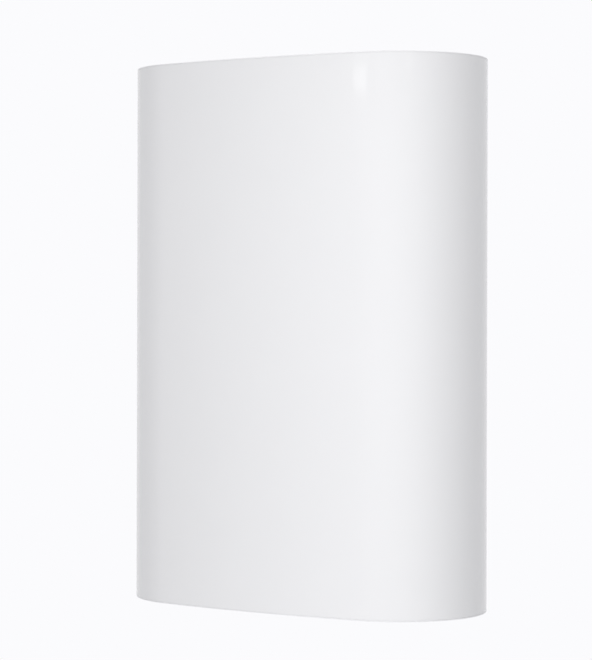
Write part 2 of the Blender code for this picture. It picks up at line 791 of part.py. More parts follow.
def make_pipework():
    """The two coils, the link between them, the transfer pipe and the hot standpipe."""
    socket_floor = PANEL_Z + STUB_TOP - STUB_SOCKET + CLEARANCE
    link_z = TANK_LOW_Z - TUBE_EXIT
    flow_leg = (-STUB_PITCH, PORT_ROW)
    link_exit = (LINK_EXIT_X, -LINK_ROW)
    route = coil_route(left(0, 0), flow_leg, link_exit, socket_floor, link_z)
    hollow_pipe("coil_left", route, PIPE_RADIUS, PIPE_WALL, STAINLESS)
    link_leg = (-LINK_X, -LINK_ROW)
    return_exit = (PORT_EXIT_X, PORT_ROW)
    route = coil_route(right(0, 0), link_leg, return_exit, link_z, socket_floor)
    hollow_pipe("coil_right", route, PIPE_RADIUS, PIPE_WALL, STAINLESS)

    under = TANK_LOW_Z - UNDER_BEND
    start, end = left(*link_exit), right(*link_leg)
    top = link_z - CLEARANCE
    corners = [(*start, top), (*start, under), (*end, under), (*end, top)]
    route = rounded_route(corners, LINK_BEND)
    hollow_pipe("coil_link", route, PIPE_RADIUS, PIPE_WALL, STAINLESS)

    start, end = right(-TRANSFER_X, 0), left(TRANSFER_X, 0)
    high = TANK_HIGH_Z - HEAD_DEPTH / 2 - TOP_INTAKE
    low = head_z(TRANSFER_X, 0) + INLET_RISE
    corners = [(*start, high), (*start, under), (*end, under), (*end, low)]
    hollow_pipe("transfer_pipe", rounded_route(corners, BEND_RADIUS), TRANSFER_RADIUS, PIPE_WALL, STAINLESS)

    place = left(0, PORT_ROW)
    corners = [(*place, TANK_HIGH_Z - TOP_INTAKE), (*place, socket_floor)]
    points = [Vector(corner) for corner in corners]
    hollow_pipe("hot_standpipe", points, STANDPIPE_RADIUS, PIPE_WALL, STAINLESS)


def make_diffuser():
    """A cap over the cold inlet that spreads the incoming water sideways."""
    place = right(0, PORT_ROW)
    low = cold_tube_top() - DIFFUSER_HEIGHT / 2
    high = low + DIFFUSER_HEIGHT
    inner = DIFFUSER_RADIUS - DIFFUSER_WALL
    tube = BORE_LARGE + PIPE_WALL + CLEARANCE
    profile = [
        (0, high),
        (DIFFUSER_RADIUS, high),
        (DIFFUSER_RADIUS, low),
        (tube, low),
        (tube, low + DIFFUSER_WALL),
        (inner, low + DIFFUSER_WALL),
        (inner, high - DIFFUSER_WALL),
        (0, high - DIFFUSER_WALL),
    ]
    diffuser = turned("cold_inlet_diffuser", profile, STAINLESS, place)
    slots = []
    for i in range(2):
        reach = DIFFUSER_RADIUS + OVERRUN
        slot = box(
            "diffuser_slot",
            (-reach, -DIFFUSER_HOLE / 2, low + 2 * DIFFUSER_WALL),
            (reach, DIFFUSER_HOLE / 2, high - 2 * DIFFUSER_WALL),
            cutter=True,
        )
        slot.location = (*place, 0)
        slot.rotation_euler = (0, 0, math.tau / 8 + i * math.tau / 4)
        slots.append(slot)
    combine(diffuser, slots)


# Connections
def cold_tube_top():
    return head_z(0, PORT_ROW) + INLET_RISE


def stub_table():
    """Each connection: its name, place, thread radius, bore radius and the top of its own tube, if any."""
    recirculation_top = head_z(STUB_PITCH, PORT_ROW) + INLET_RISE
    return [
        ("heating_flow_stub", left(-STUB_PITCH, PORT_ROW), THREAD_LARGE, BORE_LARGE, None),
        ("hot_outlet_stub", left(0, PORT_ROW), THREAD_LARGE, BORE_LARGE, None),
        ("recirculation_stub", left(STUB_PITCH, PORT_ROW), THREAD_SMALL, BORE_SMALL, recirculation_top),
        ("cold_inlet_stub", right(0, PORT_ROW), THREAD_LARGE, BORE_LARGE, cold_tube_top()),
        ("heating_return_stub", right(PORT_EXIT_X, PORT_ROW), THREAD_LARGE, BORE_LARGE, None),
    ]


def make_stubs():
    """Threaded connection stubs: each has a collar on the panel and either a socket or a tube above it."""
    for name, place, thread, bore, tube_top in stub_table():
        end = RIM_Z + STUB_END
        seat = PANEL_Z + CLEARANCE
        collar = seat + COLLAR_HEIGHT
        top = PANEL_Z + STUB_TOP
        fitted = STANDPIPE_RADIUS if name == "hot_outlet_stub" else PIPE_RADIUS
        socket = fitted + CLEARANCE
        upper = [
            (socket, top - STUB_SOCKET),
            (socket, top),
            (socket + SOCKET_WALL, top),
            (socket + SOCKET_WALL, collar),
        ]
        if tube_top is not None:
            upper = [(bore, tube_top), (bore + PIPE_WALL, tube_top), (bore + PIPE_WALL, collar)]
        start = [] if tube_top is not None else [(bore, top - STUB_SOCKET)]
        lower = [
            (COLLAR_RADIUS, collar),
            (COLLAR_RADIUS, seat),
            (thread, seat),
            (thread, end + THREAD_CHAMFER),
            (thread - THREAD_CHAMFER, end),
            (bore, end),
        ]
        turned(name, start + upper + lower, BRASS, place, steps=STUB_STEPS, ring=True)


def make_stub_rings():
    """Coloured rings round the stubs, under the panel."""
    colours = {"hot_outlet": RED_PLASTIC, "cold_inlet": BLUE_PLASTIC}
    for name, place, thread, _, _ in stub_table():
        use = name.removesuffix("_stub")
        inner = thread + CLEARANCE
        outer = inner + RING_WIDTH
        high = CEILING_Z - CLEARANCE
        low = high - RING_HEIGHT
        profile = [(inner, high), (outer, high), (outer, low), (inner, low)]
        material = colours.get(use, GREY_PLASTIC)
        turned(use + "_ring", profile, material, place, steps=STUB_STEPS, ring=True)


def make_anodes():
    """Each tank's magnesium anode on its hexagon plug, with its seal and the cap over the access hole."""
    neck_end = TANK_LOW_Z - ANODE_NECK
    seat = neck_end - CLEARANCE - SEAL_HEIGHT - CLEARANCE
    for side, x in (("left", -TANK_X), ("right", TANK_X)):
        place = (x, TANK_Y)
        shank_top = seat + ANODE_SHANK
        plug = upright(
            f"anode_plug_{side}", ANODE_HEX_RADIUS, place, seat - ANODE_HEX_HEIGHT, seat, BRASS, steps=6
        )
        low = seat - ANODE_HEX_HEIGHT / 2
        shank = upright("plug_shank", ANODE_THREAD, place, low, shank_top, cutter=True, steps=ROUND_STEPS)
        combine(plug, [shank], "UNION")
        foot = shank_top + CLEARANCE
        rod_top = foot + ANODE_ROD_LENGTH
        upright(f"anode_rod_{side}", ANODE_ROD_RADIUS, place, foot, rod_top, MAGNESIUM)
        inner = ANODE_THREAD + CLEARANCE
        outer = inner + TANK_WALL + SEAL_LIP
        ring = [(inner, seat + SEAL_HEIGHT + CLEARANCE), (outer, seat + SEAL_HEIGHT + CLEARANCE)]
        ring += [(outer, seat + CLEARANCE), (inner, seat + CLEARANCE)]
        turned(f"anode_seal_{side}", ring, BLACK_RUBBER, place, ring=True)
        skirt = ACCESS_RADIUS - ACCESS_LIP - CLEARANCE
        face = CEILING_Z - CLEARANCE
        cap = [
            (0, face),
            (skirt - ACCESS_WALL, face),
            (skirt - ACCESS_WALL, face + ACCESS_SKIRT - ACCESS_LIP),
            (skirt, face + ACCESS_SKIRT - ACCESS_LIP),
            (skirt, face),
            (ACCESS_RADIUS, face),
            (ACCESS_RADIUS, face - ACCESS_WALL),
            (0, face - ACCESS_WALL),
        ]
        turned(f"anode_cap_{side}", cap, WHITE_PLASTIC, place)


# Hanging rails
def make_rail(name, z):
    """A hat-shaped steel rail: bolted feet on the tanks' bosses and a slotted web on the wall."""
    foot_out, foot_in = TANK_X + RAIL_FOOT, TANK_X - RAIL_FOOT
    path = [(foot_out, RAIL_FACE_Y), (foot_in, RAIL_FACE_Y), (foot_in - RAIL_JOG, 0)]
    path += [(-x, y) for x, y in path[::-1]]
    low, high = z - RAIL_HEIGHT / 2, z + RAIL_HEIGHT / 2

    def build(work):
        rows = [[work.verts.new((x, y, level)) for x, y in path] for level in (low, high)]
        for i in range(len(path) - 1):
            work.faces.new((rows[0][i], rows[0][i + 1], rows[1][i + 1], rows[1][i]))

    rail = add_object(name, mesh_from(name, build), ZINC_STEEL)
    add_solidify(rail, RAIL_SHEET)
    cutters = []
    front = -RAIL_SHEET - OVERRUN
    for side in (-1, 1):
        bolt_x = side * TANK_X
        cutters.append(
            rearward(f"{name}_hole", BOLT_RADIUS + CLEARANCE, bolt_x, z, BACK_Y - OVERRUN, OVERRUN)
        )
        cutters.append(slot_cutter(f"{name}_slot", side * SLOT_X, z, front))
    combine(rail, cutters)


def slot_cutter(name, x, z, front):
    """A slot with round ends, as an extruded outline that runs along Y."""
    half, radius = (SLOT_LENGTH - SLOT_HEIGHT) / 2, SLOT_HEIGHT / 2
    quarter, steps = math.tau / 4, SMALL_STEPS // 2
    outline = arc((half, 0), radius, -quarter, quarter, steps)
    outline += arc((-half, 0), radius, quarter, 3 * quarter, steps)

    def build(work):
        face = work.faces.new([work.verts.new((px + x, front, pz + z)) for px, pz in outline])
        made = bmesh.ops.extrude_face_region(work, geom=[face])["geom"]
        moved = [item for item in made if isinstance(item, bmesh.types.BMVert)]
        bmesh.ops.translate(work, vec=(0, OVERRUN - front, 0), verts=moved)
        bmesh.ops.recalc_face_normals(work, faces=work.faces)

    return add_object(name, mesh_from(name, build), None, True)


def make_rail_bolts():
    """Four flanged hexagon bolts through the rails into the tanks' bosses."""
    for level, z in (("top", 0), ("bottom", LOW_RAIL_Z)):
        for side, x in (("left", -TANK_X), ("right", TANK_X)):
            profile = [
                (0, BOLT_FLANGE_HEIGHT),
                (BOLT_FLANGE_RADIUS, BOLT_FLANGE_HEIGHT),
                (BOLT_FLANGE_RADIUS, 0),
                (BOLT_RADIUS, 0),
                (BOLT_RADIUS, -BOLT_LENGTH),
                (0, -BOLT_LENGTH),
            ]
            name = f"rail_bolt_{level}_{side}"
            bolt = turned(name, profile, ZINC_STEEL, steps=SMALL_STEPS)
            head = upright("bolt_head", BOLT_HEAD_RADIUS, (0, 0), 0, BOLT_HEAD_HEIGHT, cutter=True, steps=6)
            for item in (bolt, head):
                item.rotation_euler = (math.radians(-90), 0, 0)
                item.location = (x, RAIL_FACE_Y + CLEARANCE, z)
            combine(bolt, [head], "UNION")


# Service cover and controls
def knob_place():
    return (-DIAL_X, COVER_Y)


def gauge_place():
    return (DIAL_X, COVER_Y)


def button_place():
    return (0, COVER_Y - BUTTON_ROW)


def gland_place():
    return (0, COVER_Y + GLAND_ROW)


def grommet_place():
    return (-GROMMET_X, COVER_Y + GLAND_ROW)


def make_service_cover():
    """The tray under the panel that carries the knob, the thermometer and the cable gland."""

    def build(work):
        bmesh.ops.create_cube(work, size=1.0)
        for vert in work.verts:
            vert.co.x *= COVER_WIDTH
            vert.co.y = vert.co.y * COVER_DEPTH + COVER_Y
            vert.co.z = COVER_Z + COVER_HEIGHT * (vert.co.z + 0.5)
        lid = [face for face in work.faces if face.normal.z > 0.5]
        bmesh.ops.delete(work, geom=lid, context="FACES_ONLY")

    cover = add_object("service_cover", mesh_from("service_cover", build), WHITE_PLASTIC)
    add_bevel(cover, COVER_CORNER, COVER_CORNER_STEPS)
    add_solidify(cover, COVER_WALL)
    low, high = COVER_Z - OVERRUN, COVER_Z + COVER_WALL + OVERRUN
    holes = [
        ("spindle_hole", SPINDLE_RADIUS + CLEARANCE, knob_place(), SMALL_STEPS),
        ("gauge_hole", GAUGE_RADIUS + CLEARANCE, gauge_place(), ROUND_STEPS),
        ("button_hole", BUTTON_RADIUS + 2 * CLEARANCE, button_place(), SMALL_STEPS),
        ("gland_hole", GLAND_RADIUS + CLEARANCE, gland_place(), SMALL_STEPS),
        ("cover_hole", COVER_SCREW_RADIUS + CLEARANCE, (-POST_X, COVER_Y), SMALL_STEPS),
        ("cover_hole", COVER_SCREW_RADIUS + CLEARANCE, (POST_X, COVER_Y), SMALL_STEPS),
    ]
    for name, radius, place, steps in holes:
        combine(cover, [upright(name, radius, place, low, high, cutter=True, steps=steps)])
    for side, x in (("left", -POST_X), ("right", POST_X)):
        length = COVER_WALL + COVER_SCREW_BITE - CLEARANCE
        screw = turned(
            f"cover_screw_{side}",
            pan_head(COVER_SCREW_HEAD, SCREW_HEAD_HEIGHT, COVER_SCREW_RADIUS, length),
            ZINC_STEEL,
            steps=SMALL_STEPS,
        )
        screw.rotation_euler = (math.radians(180), 0, 0)
        screw.location = (x, COVER_Y, COVER_Z - CLEARANCE)


def make_thermostat():
    """The control thermostat, its spindle and its knob, which turns on the spindle's axis."""
    x, y = knob_place()
    top = CEILING_Z - CLEARANCE
    low = top - THERMOSTAT_DROP
    half_width, half_depth = THERMOSTAT_WIDTH / 2, THERMOSTAT_DEPTH / 2
    body = box(
        "thermostat_body",
        (x - half_width, y - half_depth, low),
        (x + half_width, y + half_depth, top),
        BLACK_PLASTIC,
    )
    socket = upright(
        "spindle_socket",
        SPINDLE_RADIUS + CLEARANCE,
        (x, y),
        low - OVERRUN,
        low + THERMOSTAT_SOCKET,
        cutter=True,
    )
    combine(body, [socket])

    axis = bpy.data.objects.new("knob_axis", None)
    PARTS.objects.link(axis)
    axis.location = (x, y, COVER_Z)
    face = -CLEARANCE
    spindle_top = low + THERMOSTAT_SOCKET - CLEARANCE - COVER_Z
    spindle_low = face - SPINDLE_BITE
    spindle = upright("thermostat_spindle", SPINDLE_RADIUS, (0, 0), spindle_low, spindle_top, ZINC_STEEL)
    skirt, skirt_low = KNOB_RADIUS, face - KNOB_SKIRT_HEIGHT
    barrel, end = KNOB_RADIUS - KNOB_SKIRT, face - KNOB_HEIGHT
    profile = [
        (0, face),
        (skirt, face),
        (skirt, skirt_low),
        (barrel, skirt_low - KNOB_CHAMFER),
        (barrel, (skirt_low + end) / 2),
        (0, (skirt_low + end) / 2),
    ]
    knob = turned("thermostat_knob", profile, WHITE_PLASTIC)
    grip = box(
        "knob_grip",
        (-KNOB_GRIP_WIDTH / 2, -barrel, end),
        (KNOB_GRIP_WIDTH / 2, barrel, skirt_low - KNOB_CHAMFER),
        cutter=True,
    )
    grip.rotation_euler = (0, 0, KNOB_REST)
    hole_end = spindle_low - CLEARANCE
    hole = upright("knob_hole", SPINDLE_RADIUS + CLEARANCE, (0, 0), hole_end, OVERRUN, cutter=True)
    combine(knob, [grip], "UNION")
    combine(knob, [hole])
    for item in (spindle, knob, grip, hole):
        item.parent = axis


def make_limiter():
    """The safety limiter and its reset button, which is pushed up through a hole in the cover."""
    place = button_place()
    top = CEILING_Z - CLEARANCE
    low = top - LIMITER_DROP
    bore = BUTTON_RADIUS + CLEARANCE
    tip = COVER_Z + BUTTON_SINK
    button_top = tip + BUTTON_LENGTH
    limiter = upright("limit_thermostat", LIMITER_RADIUS, place, low, top, BLACK_PLASTIC)
    hole = upright(
        "limiter_bore",
        bore,
        place,
        low - OVERRUN,
        button_top + BUTTON_TRAVEL + CLEARANCE,
        cutter=True,
    )
    combine(limiter, [hole])
    button = upright("reset_button", BUTTON_RADIUS, (0, 0), 0, BUTTON_LENGTH, RED_PLASTIC)
    button.location = (*place, tip)


def make_wiring_parts():
    """The terminal block and the gland that the mains cable comes through."""
    x, y = gland_place()
    top = CEILING_Z - CLEARANCE
    y_block = COVER_Y + GLAND_ROW
    terminal = box(
        "terminal_block",
        (-TERMINAL_WIDTH / 2, y_block - TERMINAL_DEPTH / 2, top - TERMINAL_HEIGHT),
        (TERMINAL_WIDTH / 2, y_block + TERMINAL_DEPTH / 2, top),
        BLACK_PLASTIC,
    )
    add_bevel(terminal, KNOB_CHAMFER, 1)
    low = COVER_Z - CLEARANCE
    gland = [
        (GLAND_BORE, COVER_Z + GLAND_RISE),
        (GLAND_RADIUS, COVER_Z + GLAND_RISE),
        (GLAND_RADIUS, low),
        (GLAND_HEX, low),
        (GLAND_HEX, low - GLAND_HEX_HEIGHT),
        (GLAND_RADIUS, low - GLAND_HEX_HEIGHT),
        (GLAND_RADIUS - THREAD_CHAMFER, low - GLAND_DROP),
        (GLAND_BORE, low - GLAND_DROP),
    ]
    turned("cable_gland", gland, BLACK_PLASTIC, (x, y), steps=SMALL_STEPS, ring=True)
    nut_low = COVER_Z + COVER_WALL + CLEARANCE
    bore = GLAND_RADIUS + CLEARANCE
    nut = [
        (bore, nut_low + GLAND_NUT_HEIGHT),
        (GLAND_HEX, nut_low + GLAND_NUT_HEIGHT),
        (GLAND_HEX, nut_low),
        (bore, nut_low),
    ]
    turned("gland_nut", nut, BLACK_PLASTIC, (x, y), steps=SMALL_STEPS, ring=True)


def make_gauge():
    """The dial thermometer, seen from below: case, dial, needle on its arbor, and lens."""
    x, y = gauge_place()
    flange_low = COVER_Z - CLEARANCE - GAUGE_FLANGE_HEIGHT
    flange_high = COVER_Z - CLEARANCE
    top = flange_low + GAUGE_DEPTH
    inner = GAUGE_RADIUS - GAUGE_WALL
    dial_z = flange_low + DIAL_RISE
    lens_low = flange_low + GAUGE_LEDGE
    dial_hole = ARBOR_RADIUS + CLEARANCE
    ledge = inner - GAUGE_WALL
    case = [
        (0, top),
        (GAUGE_RADIUS, top),
        (GAUGE_RADIUS, flange_high),
        (GAUGE_RADIUS + GAUGE_FLANGE, flange_high),
        (GAUGE_RADIUS + GAUGE_FLANGE, flange_low),
        (ledge, flange_low),
        (ledge, lens_low - CLEARANCE),
        (inner, lens_low - CLEARANCE),
        (inner, dial_z + DIAL_PLATE + CLEARANCE),
        (ARBOR_BEARING, dial_z + DIAL_PLATE + CLEARANCE),
        (ARBOR_BEARING, top - GAUGE_WALL),
        (0, top - GAUGE_WALL),
    ]
    turned("thermometer_case", case, GREY_PLASTIC, (x, y))
    plate = inner - CLEARANCE
    dial_top = dial_z + DIAL_PLATE
    dial = [(dial_hole, dial_top), (plate, dial_top), (plate, dial_z), (dial_hole, dial_z)]
    turned("thermometer_dial", dial, DIAL_WHITE, (x, y), ring=True)
    lens_top = lens_low + LENS_PLATE
    lens = [(0, lens_top), (plate, lens_top), (plate, lens_low), (0, lens_low)]
    turned("thermometer_lens", lens, CLEAR_LENS, (x, y))

    needle_z = dial_z - NEEDLE_DROP
    needle = turned(
        "thermometer_needle",
        [
            (0, needle_z + ARBOR_LENGTH),
            (ARBOR_RADIUS, needle_z + ARBOR_LENGTH),
            (ARBOR_RADIUS, needle_z),
            (NEEDLE_HUB, needle_z),
            (NEEDLE_HUB, needle_z - NEEDLE_PLATE),
            (0, needle_z - NEEDLE_PLATE),
        ],
        BLACK_PLASTIC,
        (x, y),
        steps=SMALL_STEPS,
    )
    high, low = (needle_z - NEEDLE_PLATE * share for share in BLADE_SHARES)
    blade = pointer_cutter("needle_blade", low, high)
    blade.location = (x, y, 0)
    blade.rotation_euler = (0, 0, NEEDLE_REST)
    combine(needle, [blade], "UNION")


def pointer_cutter(name, low, high):
    """A tapered pointer along +X, as an extruded outline."""
    tip = NEEDLE_WIDTH / 2 * BLADE_TIP_SHARE
    outline = [
        (-NEEDLE_TAIL, -NEEDLE_WIDTH / 2),
        (NEEDLE_LENGTH, -tip),
        (NEEDLE_LENGTH, tip),
        (-NEEDLE_TAIL, NEEDLE_WIDTH / 2),
    ]

    def build(work):
        face = work.faces.new([work.verts.new((px, py, low)) for px, py in outline])
        made = bmesh.ops.extrude_face_region(work, geom=[face])["geom"]
        moved = [item for item in made if isinstance(item, bmesh.types.BMVert)]
        bmesh.ops.translate(work, vec=(0, 0, high - low), verts=moved)
        bmesh.ops.recalc_face_normals(work, faces=work.faces)

    return add_object(name, mesh_from(name, build), None, True)


def make_pocket():
    """The dry pocket in the left tank, open at its foot, for both sensor bulbs."""
    place = left(0, -POCKET_ROW)
    low = TANK_LOW_Z - POCKET_DROP
    high = low + POCKET_LENGTH
    inner = POCKET_RADIUS - POCKET_WALL
    profile = [
        (0, high),
        (POCKET_RADIUS, high),
        (POCKET_RADIUS, low),
        (inner, low),
        (inner, high - POCKET_WALL),
        (0, high - POCKET_WALL),
    ]
    turned("sensor_pocket", profile, STAINLESS, place, steps=SMALL_STEPS)


def make_capillaries():
    """The thin tubes from the thermostat and the thermometer to their bulbs in the pocket."""
    x, y = grommet_place()
    lead_x = x + CAPILLARY_LEAD
    level = CEILING_Z - THERMOSTAT_DROP / 2
    body_back = COVER_Y + THERMOSTAT_DEPTH / 2 + CLEARANCE
    near = y - BULB_OFFSET
    capillary(
        "thermostat_capillary",
        [(lead_x, body_back, level), (lead_x, near, level), (x, near, level)],
        -BULB_OFFSET,
    )
    gauge_x, gauge_y = gauge_place()
    lead_y = gauge_y + GAUGE_RADIUS / 2
    case_top = COVER_Z - CLEARANCE - GAUGE_FLANGE_HEIGHT + GAUGE_DEPTH + CLEARANCE
    run, back = CEILING_Z - CAPILLARY_DROP, COVER_Y + CAPILLARY_BACK
    route = [(gauge_x, lead_y, case_top), (gauge_x, lead_y, run), (gauge_x, back, run)]
    route += [(x, back, run), (x, y + BULB_OFFSET, run)]
    capillary("thermometer_capillary", route, BULB_OFFSET)


def capillary(name, corners, offset):
    """A capillary through its corners and the grommet, which ends in a bulb that stands in the pocket."""
    x, y = grommet_place()
    pocket_x, pocket_y = left(0, offset - POCKET_ROW)
    level = PANEL_Z + CAPILLARY_RISE
    bulb_low = TANK_LOW_Z + POCKET_DROP
    route = corners + [(x, y + offset, level), (pocket_x, pocket_y, level), (pocket_x, pocket_y, bulb_low)]
    points = rounded_route(route, CAPILLARY_BEND)
    radii = [1.0] * len(points)
    for height in (bulb_low + CAPILLARY_RADIUS, bulb_low + BULB_LENGTH):
        points.append(Vector((pocket_x, pocket_y, height)))
        radii.append(BULB_RADIUS / CAPILLARY_RADIUS)
    add_object(name, route_curve(name, points, CAPILLARY_RADIUS, WIRE_SIDES_LEVEL, radii), COPPER)


# Assembly
def left_ports():
    """What passes through the left tank's lower head."""
    return [
        (left(-STUB_PITCH, PORT_ROW), PIPE_RADIUS),
        (left(0, PORT_ROW), STANDPIPE_RADIUS),
        (left(STUB_PITCH, PORT_ROW), BORE_SMALL + PIPE_WALL),
        (left(LINK_EXIT_X, -LINK_ROW), PIPE_RADIUS),
        (left(TRANSFER_X, 0), TRANSFER_RADIUS),
        (left(0, -POCKET_ROW), POCKET_RADIUS),
    ]


def right_ports():
    """What passes through the right tank's lower head."""
    return [
        (right(0, PORT_ROW), BORE_LARGE + PIPE_WALL),
        (right(PORT_EXIT_X, PORT_ROW), PIPE_RADIUS),
        (right(-LINK_X, -LINK_ROW), PIPE_RADIUS),
        (right(-TRANSFER_X, 0), TRANSFER_RADIUS),
    ]


make_jacket()
make_seam_strip()
make_top_cap()
make_bottom_cap()
make_cap_screws()
make_foam()
make_tank("left", -TANK_X, left_ports())
make_tank("right", TANK_X, right_ports())
make_pipework()
make_diffuser()
make_stubs()
make_stub_rings()
make_anodes()
make_rail("top_rail", 0)
make_rail("bottom_rail", LOW_RAIL_Z)
make_rail_bolts()
make_service_cover()
make_thermostat()
make_limiter()
make_wiring_parts()
make_gauge()
make_pocket()
make_capillaries()
bpy.context.view_layer.update()
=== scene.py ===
"""Looks of a wall-hung flat indirect water heater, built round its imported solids.

Metres, +Z is up, the front faces -Y and the wall is the plane Y = 0.
"""

import math

import bmesh
import bpy
from mathutils import Matrix, Vector


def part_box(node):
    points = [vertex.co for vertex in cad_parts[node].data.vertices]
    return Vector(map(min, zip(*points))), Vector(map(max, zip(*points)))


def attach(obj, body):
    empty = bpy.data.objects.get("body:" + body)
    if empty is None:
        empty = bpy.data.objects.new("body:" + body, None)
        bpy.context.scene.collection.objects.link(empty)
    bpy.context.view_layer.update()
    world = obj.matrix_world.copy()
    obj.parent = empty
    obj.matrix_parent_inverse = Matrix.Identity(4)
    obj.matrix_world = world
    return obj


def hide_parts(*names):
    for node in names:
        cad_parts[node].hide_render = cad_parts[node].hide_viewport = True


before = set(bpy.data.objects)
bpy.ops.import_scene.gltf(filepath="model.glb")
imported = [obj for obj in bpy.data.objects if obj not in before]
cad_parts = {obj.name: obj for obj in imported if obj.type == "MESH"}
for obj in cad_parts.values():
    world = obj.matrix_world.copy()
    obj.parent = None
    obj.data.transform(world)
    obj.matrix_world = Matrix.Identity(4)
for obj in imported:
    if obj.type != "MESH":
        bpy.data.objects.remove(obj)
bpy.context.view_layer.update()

# Photograph's frame, camera and set. The camera looks past the axis X = 0, Y = ORBIT_Y
PHOTO_HEIGHT = 660
SENSOR = 36
LENS = 132.7
HORIZON_ROW = 296.1
CAMERA_AZIMUTH = math.radians(34.06)
CAMERA_DISTANCE = 4.204
CAMERA_SIDE = -0.0176
CAMERA_ROLL = math.radians(0.13)
CAMERA_DROP = 0.39987
ORBIT_Y = -0.172
BACKGROUND = (0.965, 0.965, 0.984)
AMBIENT = 0.48
# Each lamp: azimuth from the front, distance, rise above the heater's middle, width, height and watts
LAMPS = {
    "left_key": (math.radians(8), 1.2, 0.2, 1.0, 1.6, 4.2),
    "right_key": (math.radians(50), 1.2, 0.2, 1.0, 1.6, 3.7),
    "high_key": (math.radians(22), 2.0, 1.2, 1.0, 1.6, 3.4),
    "under_fill": (math.radians(30), 0.5, -1.135, 1.0, 1.6, 3.9),
    "rear_fill": (math.radians(214), 2.6, 0.0, 1.0, 1.6, 25.0),
    "top_fill": (math.radians(0), 0.0, 1.6, 0.3, 0.3, 5.0),
}
# Each window that the enamel mirrors: its middle, the spot it is aimed at, width, height and watts
WINDOWS = {
    "main_window": ((-0.304, -2.44, 0.301), (0.203, -0.317, 0.108), 0.46, 0.062, 0.30),
    "side_window": ((1.86, -1.80, 0.342), (0.276, -0.285, 0.132), 0.39, 0.050, 0.08),
}
FLOOR_DROP = 0.82
FLOOR_RADIUS = 3.4
FLOOR_CLEAR = 1.7
FLOOR_LIFT = 0.62
FLOOR_COLOUR = (0.86, 0.86, 0.87)

# Casing, from the frame
JACKET_LOW, JACKET_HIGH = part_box("jacket")
TOP_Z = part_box("top_cap")[1].z
RIM_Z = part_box("bottom_cap")[0].z
BACK_Y, FRONT_Y = JACKET_HIGH.y, JACKET_LOW.y
DEPTH = BACK_Y - FRONT_Y
FRONT_CROWN = 0.011
END_RADIUS = (DEPTH - FRONT_CROWN) / 2
END_X = JACKET_HIGH.x - END_RADIUS
END_Y = BACK_Y - END_RADIUS
FRONT_RADIUS = (END_X**2 + DEPTH**2 - 2 * DEPTH * END_RADIUS) / (2 * FRONT_CROWN)
FRONT_ANGLE = math.asin(END_X / (FRONT_RADIUS - END_RADIUS))
END_STEPS, FRONT_STEPS = 60, 40
SHEET = 0.0008
SHEET_EDGE = 0.0002
SEAM_GAP = 0.0006
JOINT = 0.0001
CAP_GAP = 0.00008
CAP_WALL = 0.0025
CAP_EDGE = 0.0016
SPIGOT = 0.018
SPIGOT_INSET = 0.0011
RECESS_INSET, RECESS_DRAFT = 0.022, 0.003
CEILING_Z = RIM_Z + 0.055
PANEL_Z = CEILING_Z + CAP_WALL
FILL_INSET = 0.036
RIM_RING = 0.0015
DIMPLES = 15
DIMPLE_X = 0.0092
DIMPLE_END = 0.03
WELD_RISE = 0.040

# Fasteners, holes and hanging rails
SIDES = ("left", "right")
CAP_SCREWS = [f"cap_screw_{level}_{side}" for level in ("top", "bottom") for side in SIDES]
RAIL_BOLTS = [f"rail_bolt_{level}_{side}" for level in ("top", "bottom") for side in SIDES]
COVER_SCREWS = [f"cover_screw_{side}" for side in SIDES]
CLEARANCE = 0.0003
SCREW_HOLE = 0.0020
BOLT_HOLE = 0.0043
ACCESS_HOLE = 0.024
GROMMET_HOLE = 0.0065
RAIL_SHEET = 0.0025
RAIL_BEND = 0.0015
RAIL_FOOT_X, RAIL_RIDGE_X = 0.118, 0.106
RAIL_BOLT_X, RAIL_SLOT_X = 0.140, 0.070
RAIL_SLOT = (0.040, 0.013, 0.00649)

# Each connection: its word, its ring's slot, and the radii of its thread, bore and inner socket
CONNECTIONS = {
    "heating_flow": ("FLOW", "grey_plastic", 0.0132, 0.0090, 0.0103),
    "hot_outlet": ("HOT", "red_plastic", 0.0132, 0.0090, 0.0093),
    "recirculation": ("CIRC", "grey_plastic", 0.0105, 0.0075, None),
    "cold_inlet": ("COLD", "blue_plastic", 0.0132, 0.0090, None),
    "heating_return": ("RETURN", "grey_plastic", 0.0132, 0.0090, 0.0103),
}
SOCKET_DEPTH = 0.020
THREAD_PITCH = 0.0018
THREAD_DEPTH = 0.0011
THREADED = 0.024
THREAD_END = 0.0016
COLLAR_HEIGHT = 0.008
RING_WIDTH = 0.0075
WORD_ROW = 0.037
WORD_SIZE = 0.0085
WORD_RISE = 0.0007

# Service cover
COVER_LOW, COVER_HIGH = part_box("service_cover")
COVER_Z = COVER_LOW.z
COVER_Y = (COVER_LOW.y + COVER_HIGH.y) / 2
COVER_FACE = COVER_Z - CLEARANCE
COVER_WALL = 0.002
POST_LENGTH = 0.012
POST_PLACES = [(-0.076, COVER_Y), (0.076, COVER_Y)]
KNOB_PLACE = (-0.046, COVER_Y)
GAUGE_PLACE = (0.046, COVER_Y)
BUTTON_PLACE = (0, COVER_Y - 0.026)
GLAND_PLACE = (0, COVER_Y + 0.030)
GROMMET_PLACE = (-0.074, COVER_Y + 0.030)

# Dials: clock angles seen from below, with the front of the heater at twelve, and scale numbers
KNOB_REST_CLOCK = math.radians(-135)
KNOB_SWEEP = math.radians(270)
KNOB_NUMBERS = [20, 30, 40, 50, 60, 70, 80]
GAUGE_ZERO_CLOCK = math.radians(-120)
GAUGE_SWEEP = math.radians(240)
GAUGE_NUMBERS = [0, 20, 40, 60, 80, 100, 120]
NEEDLE_REST_CLOCK = math.radians(-80)
COVER_PRINT_GAP, DIAL_PRINT_GAP = 0.00002, 0.00003
ARBOR = 0.006

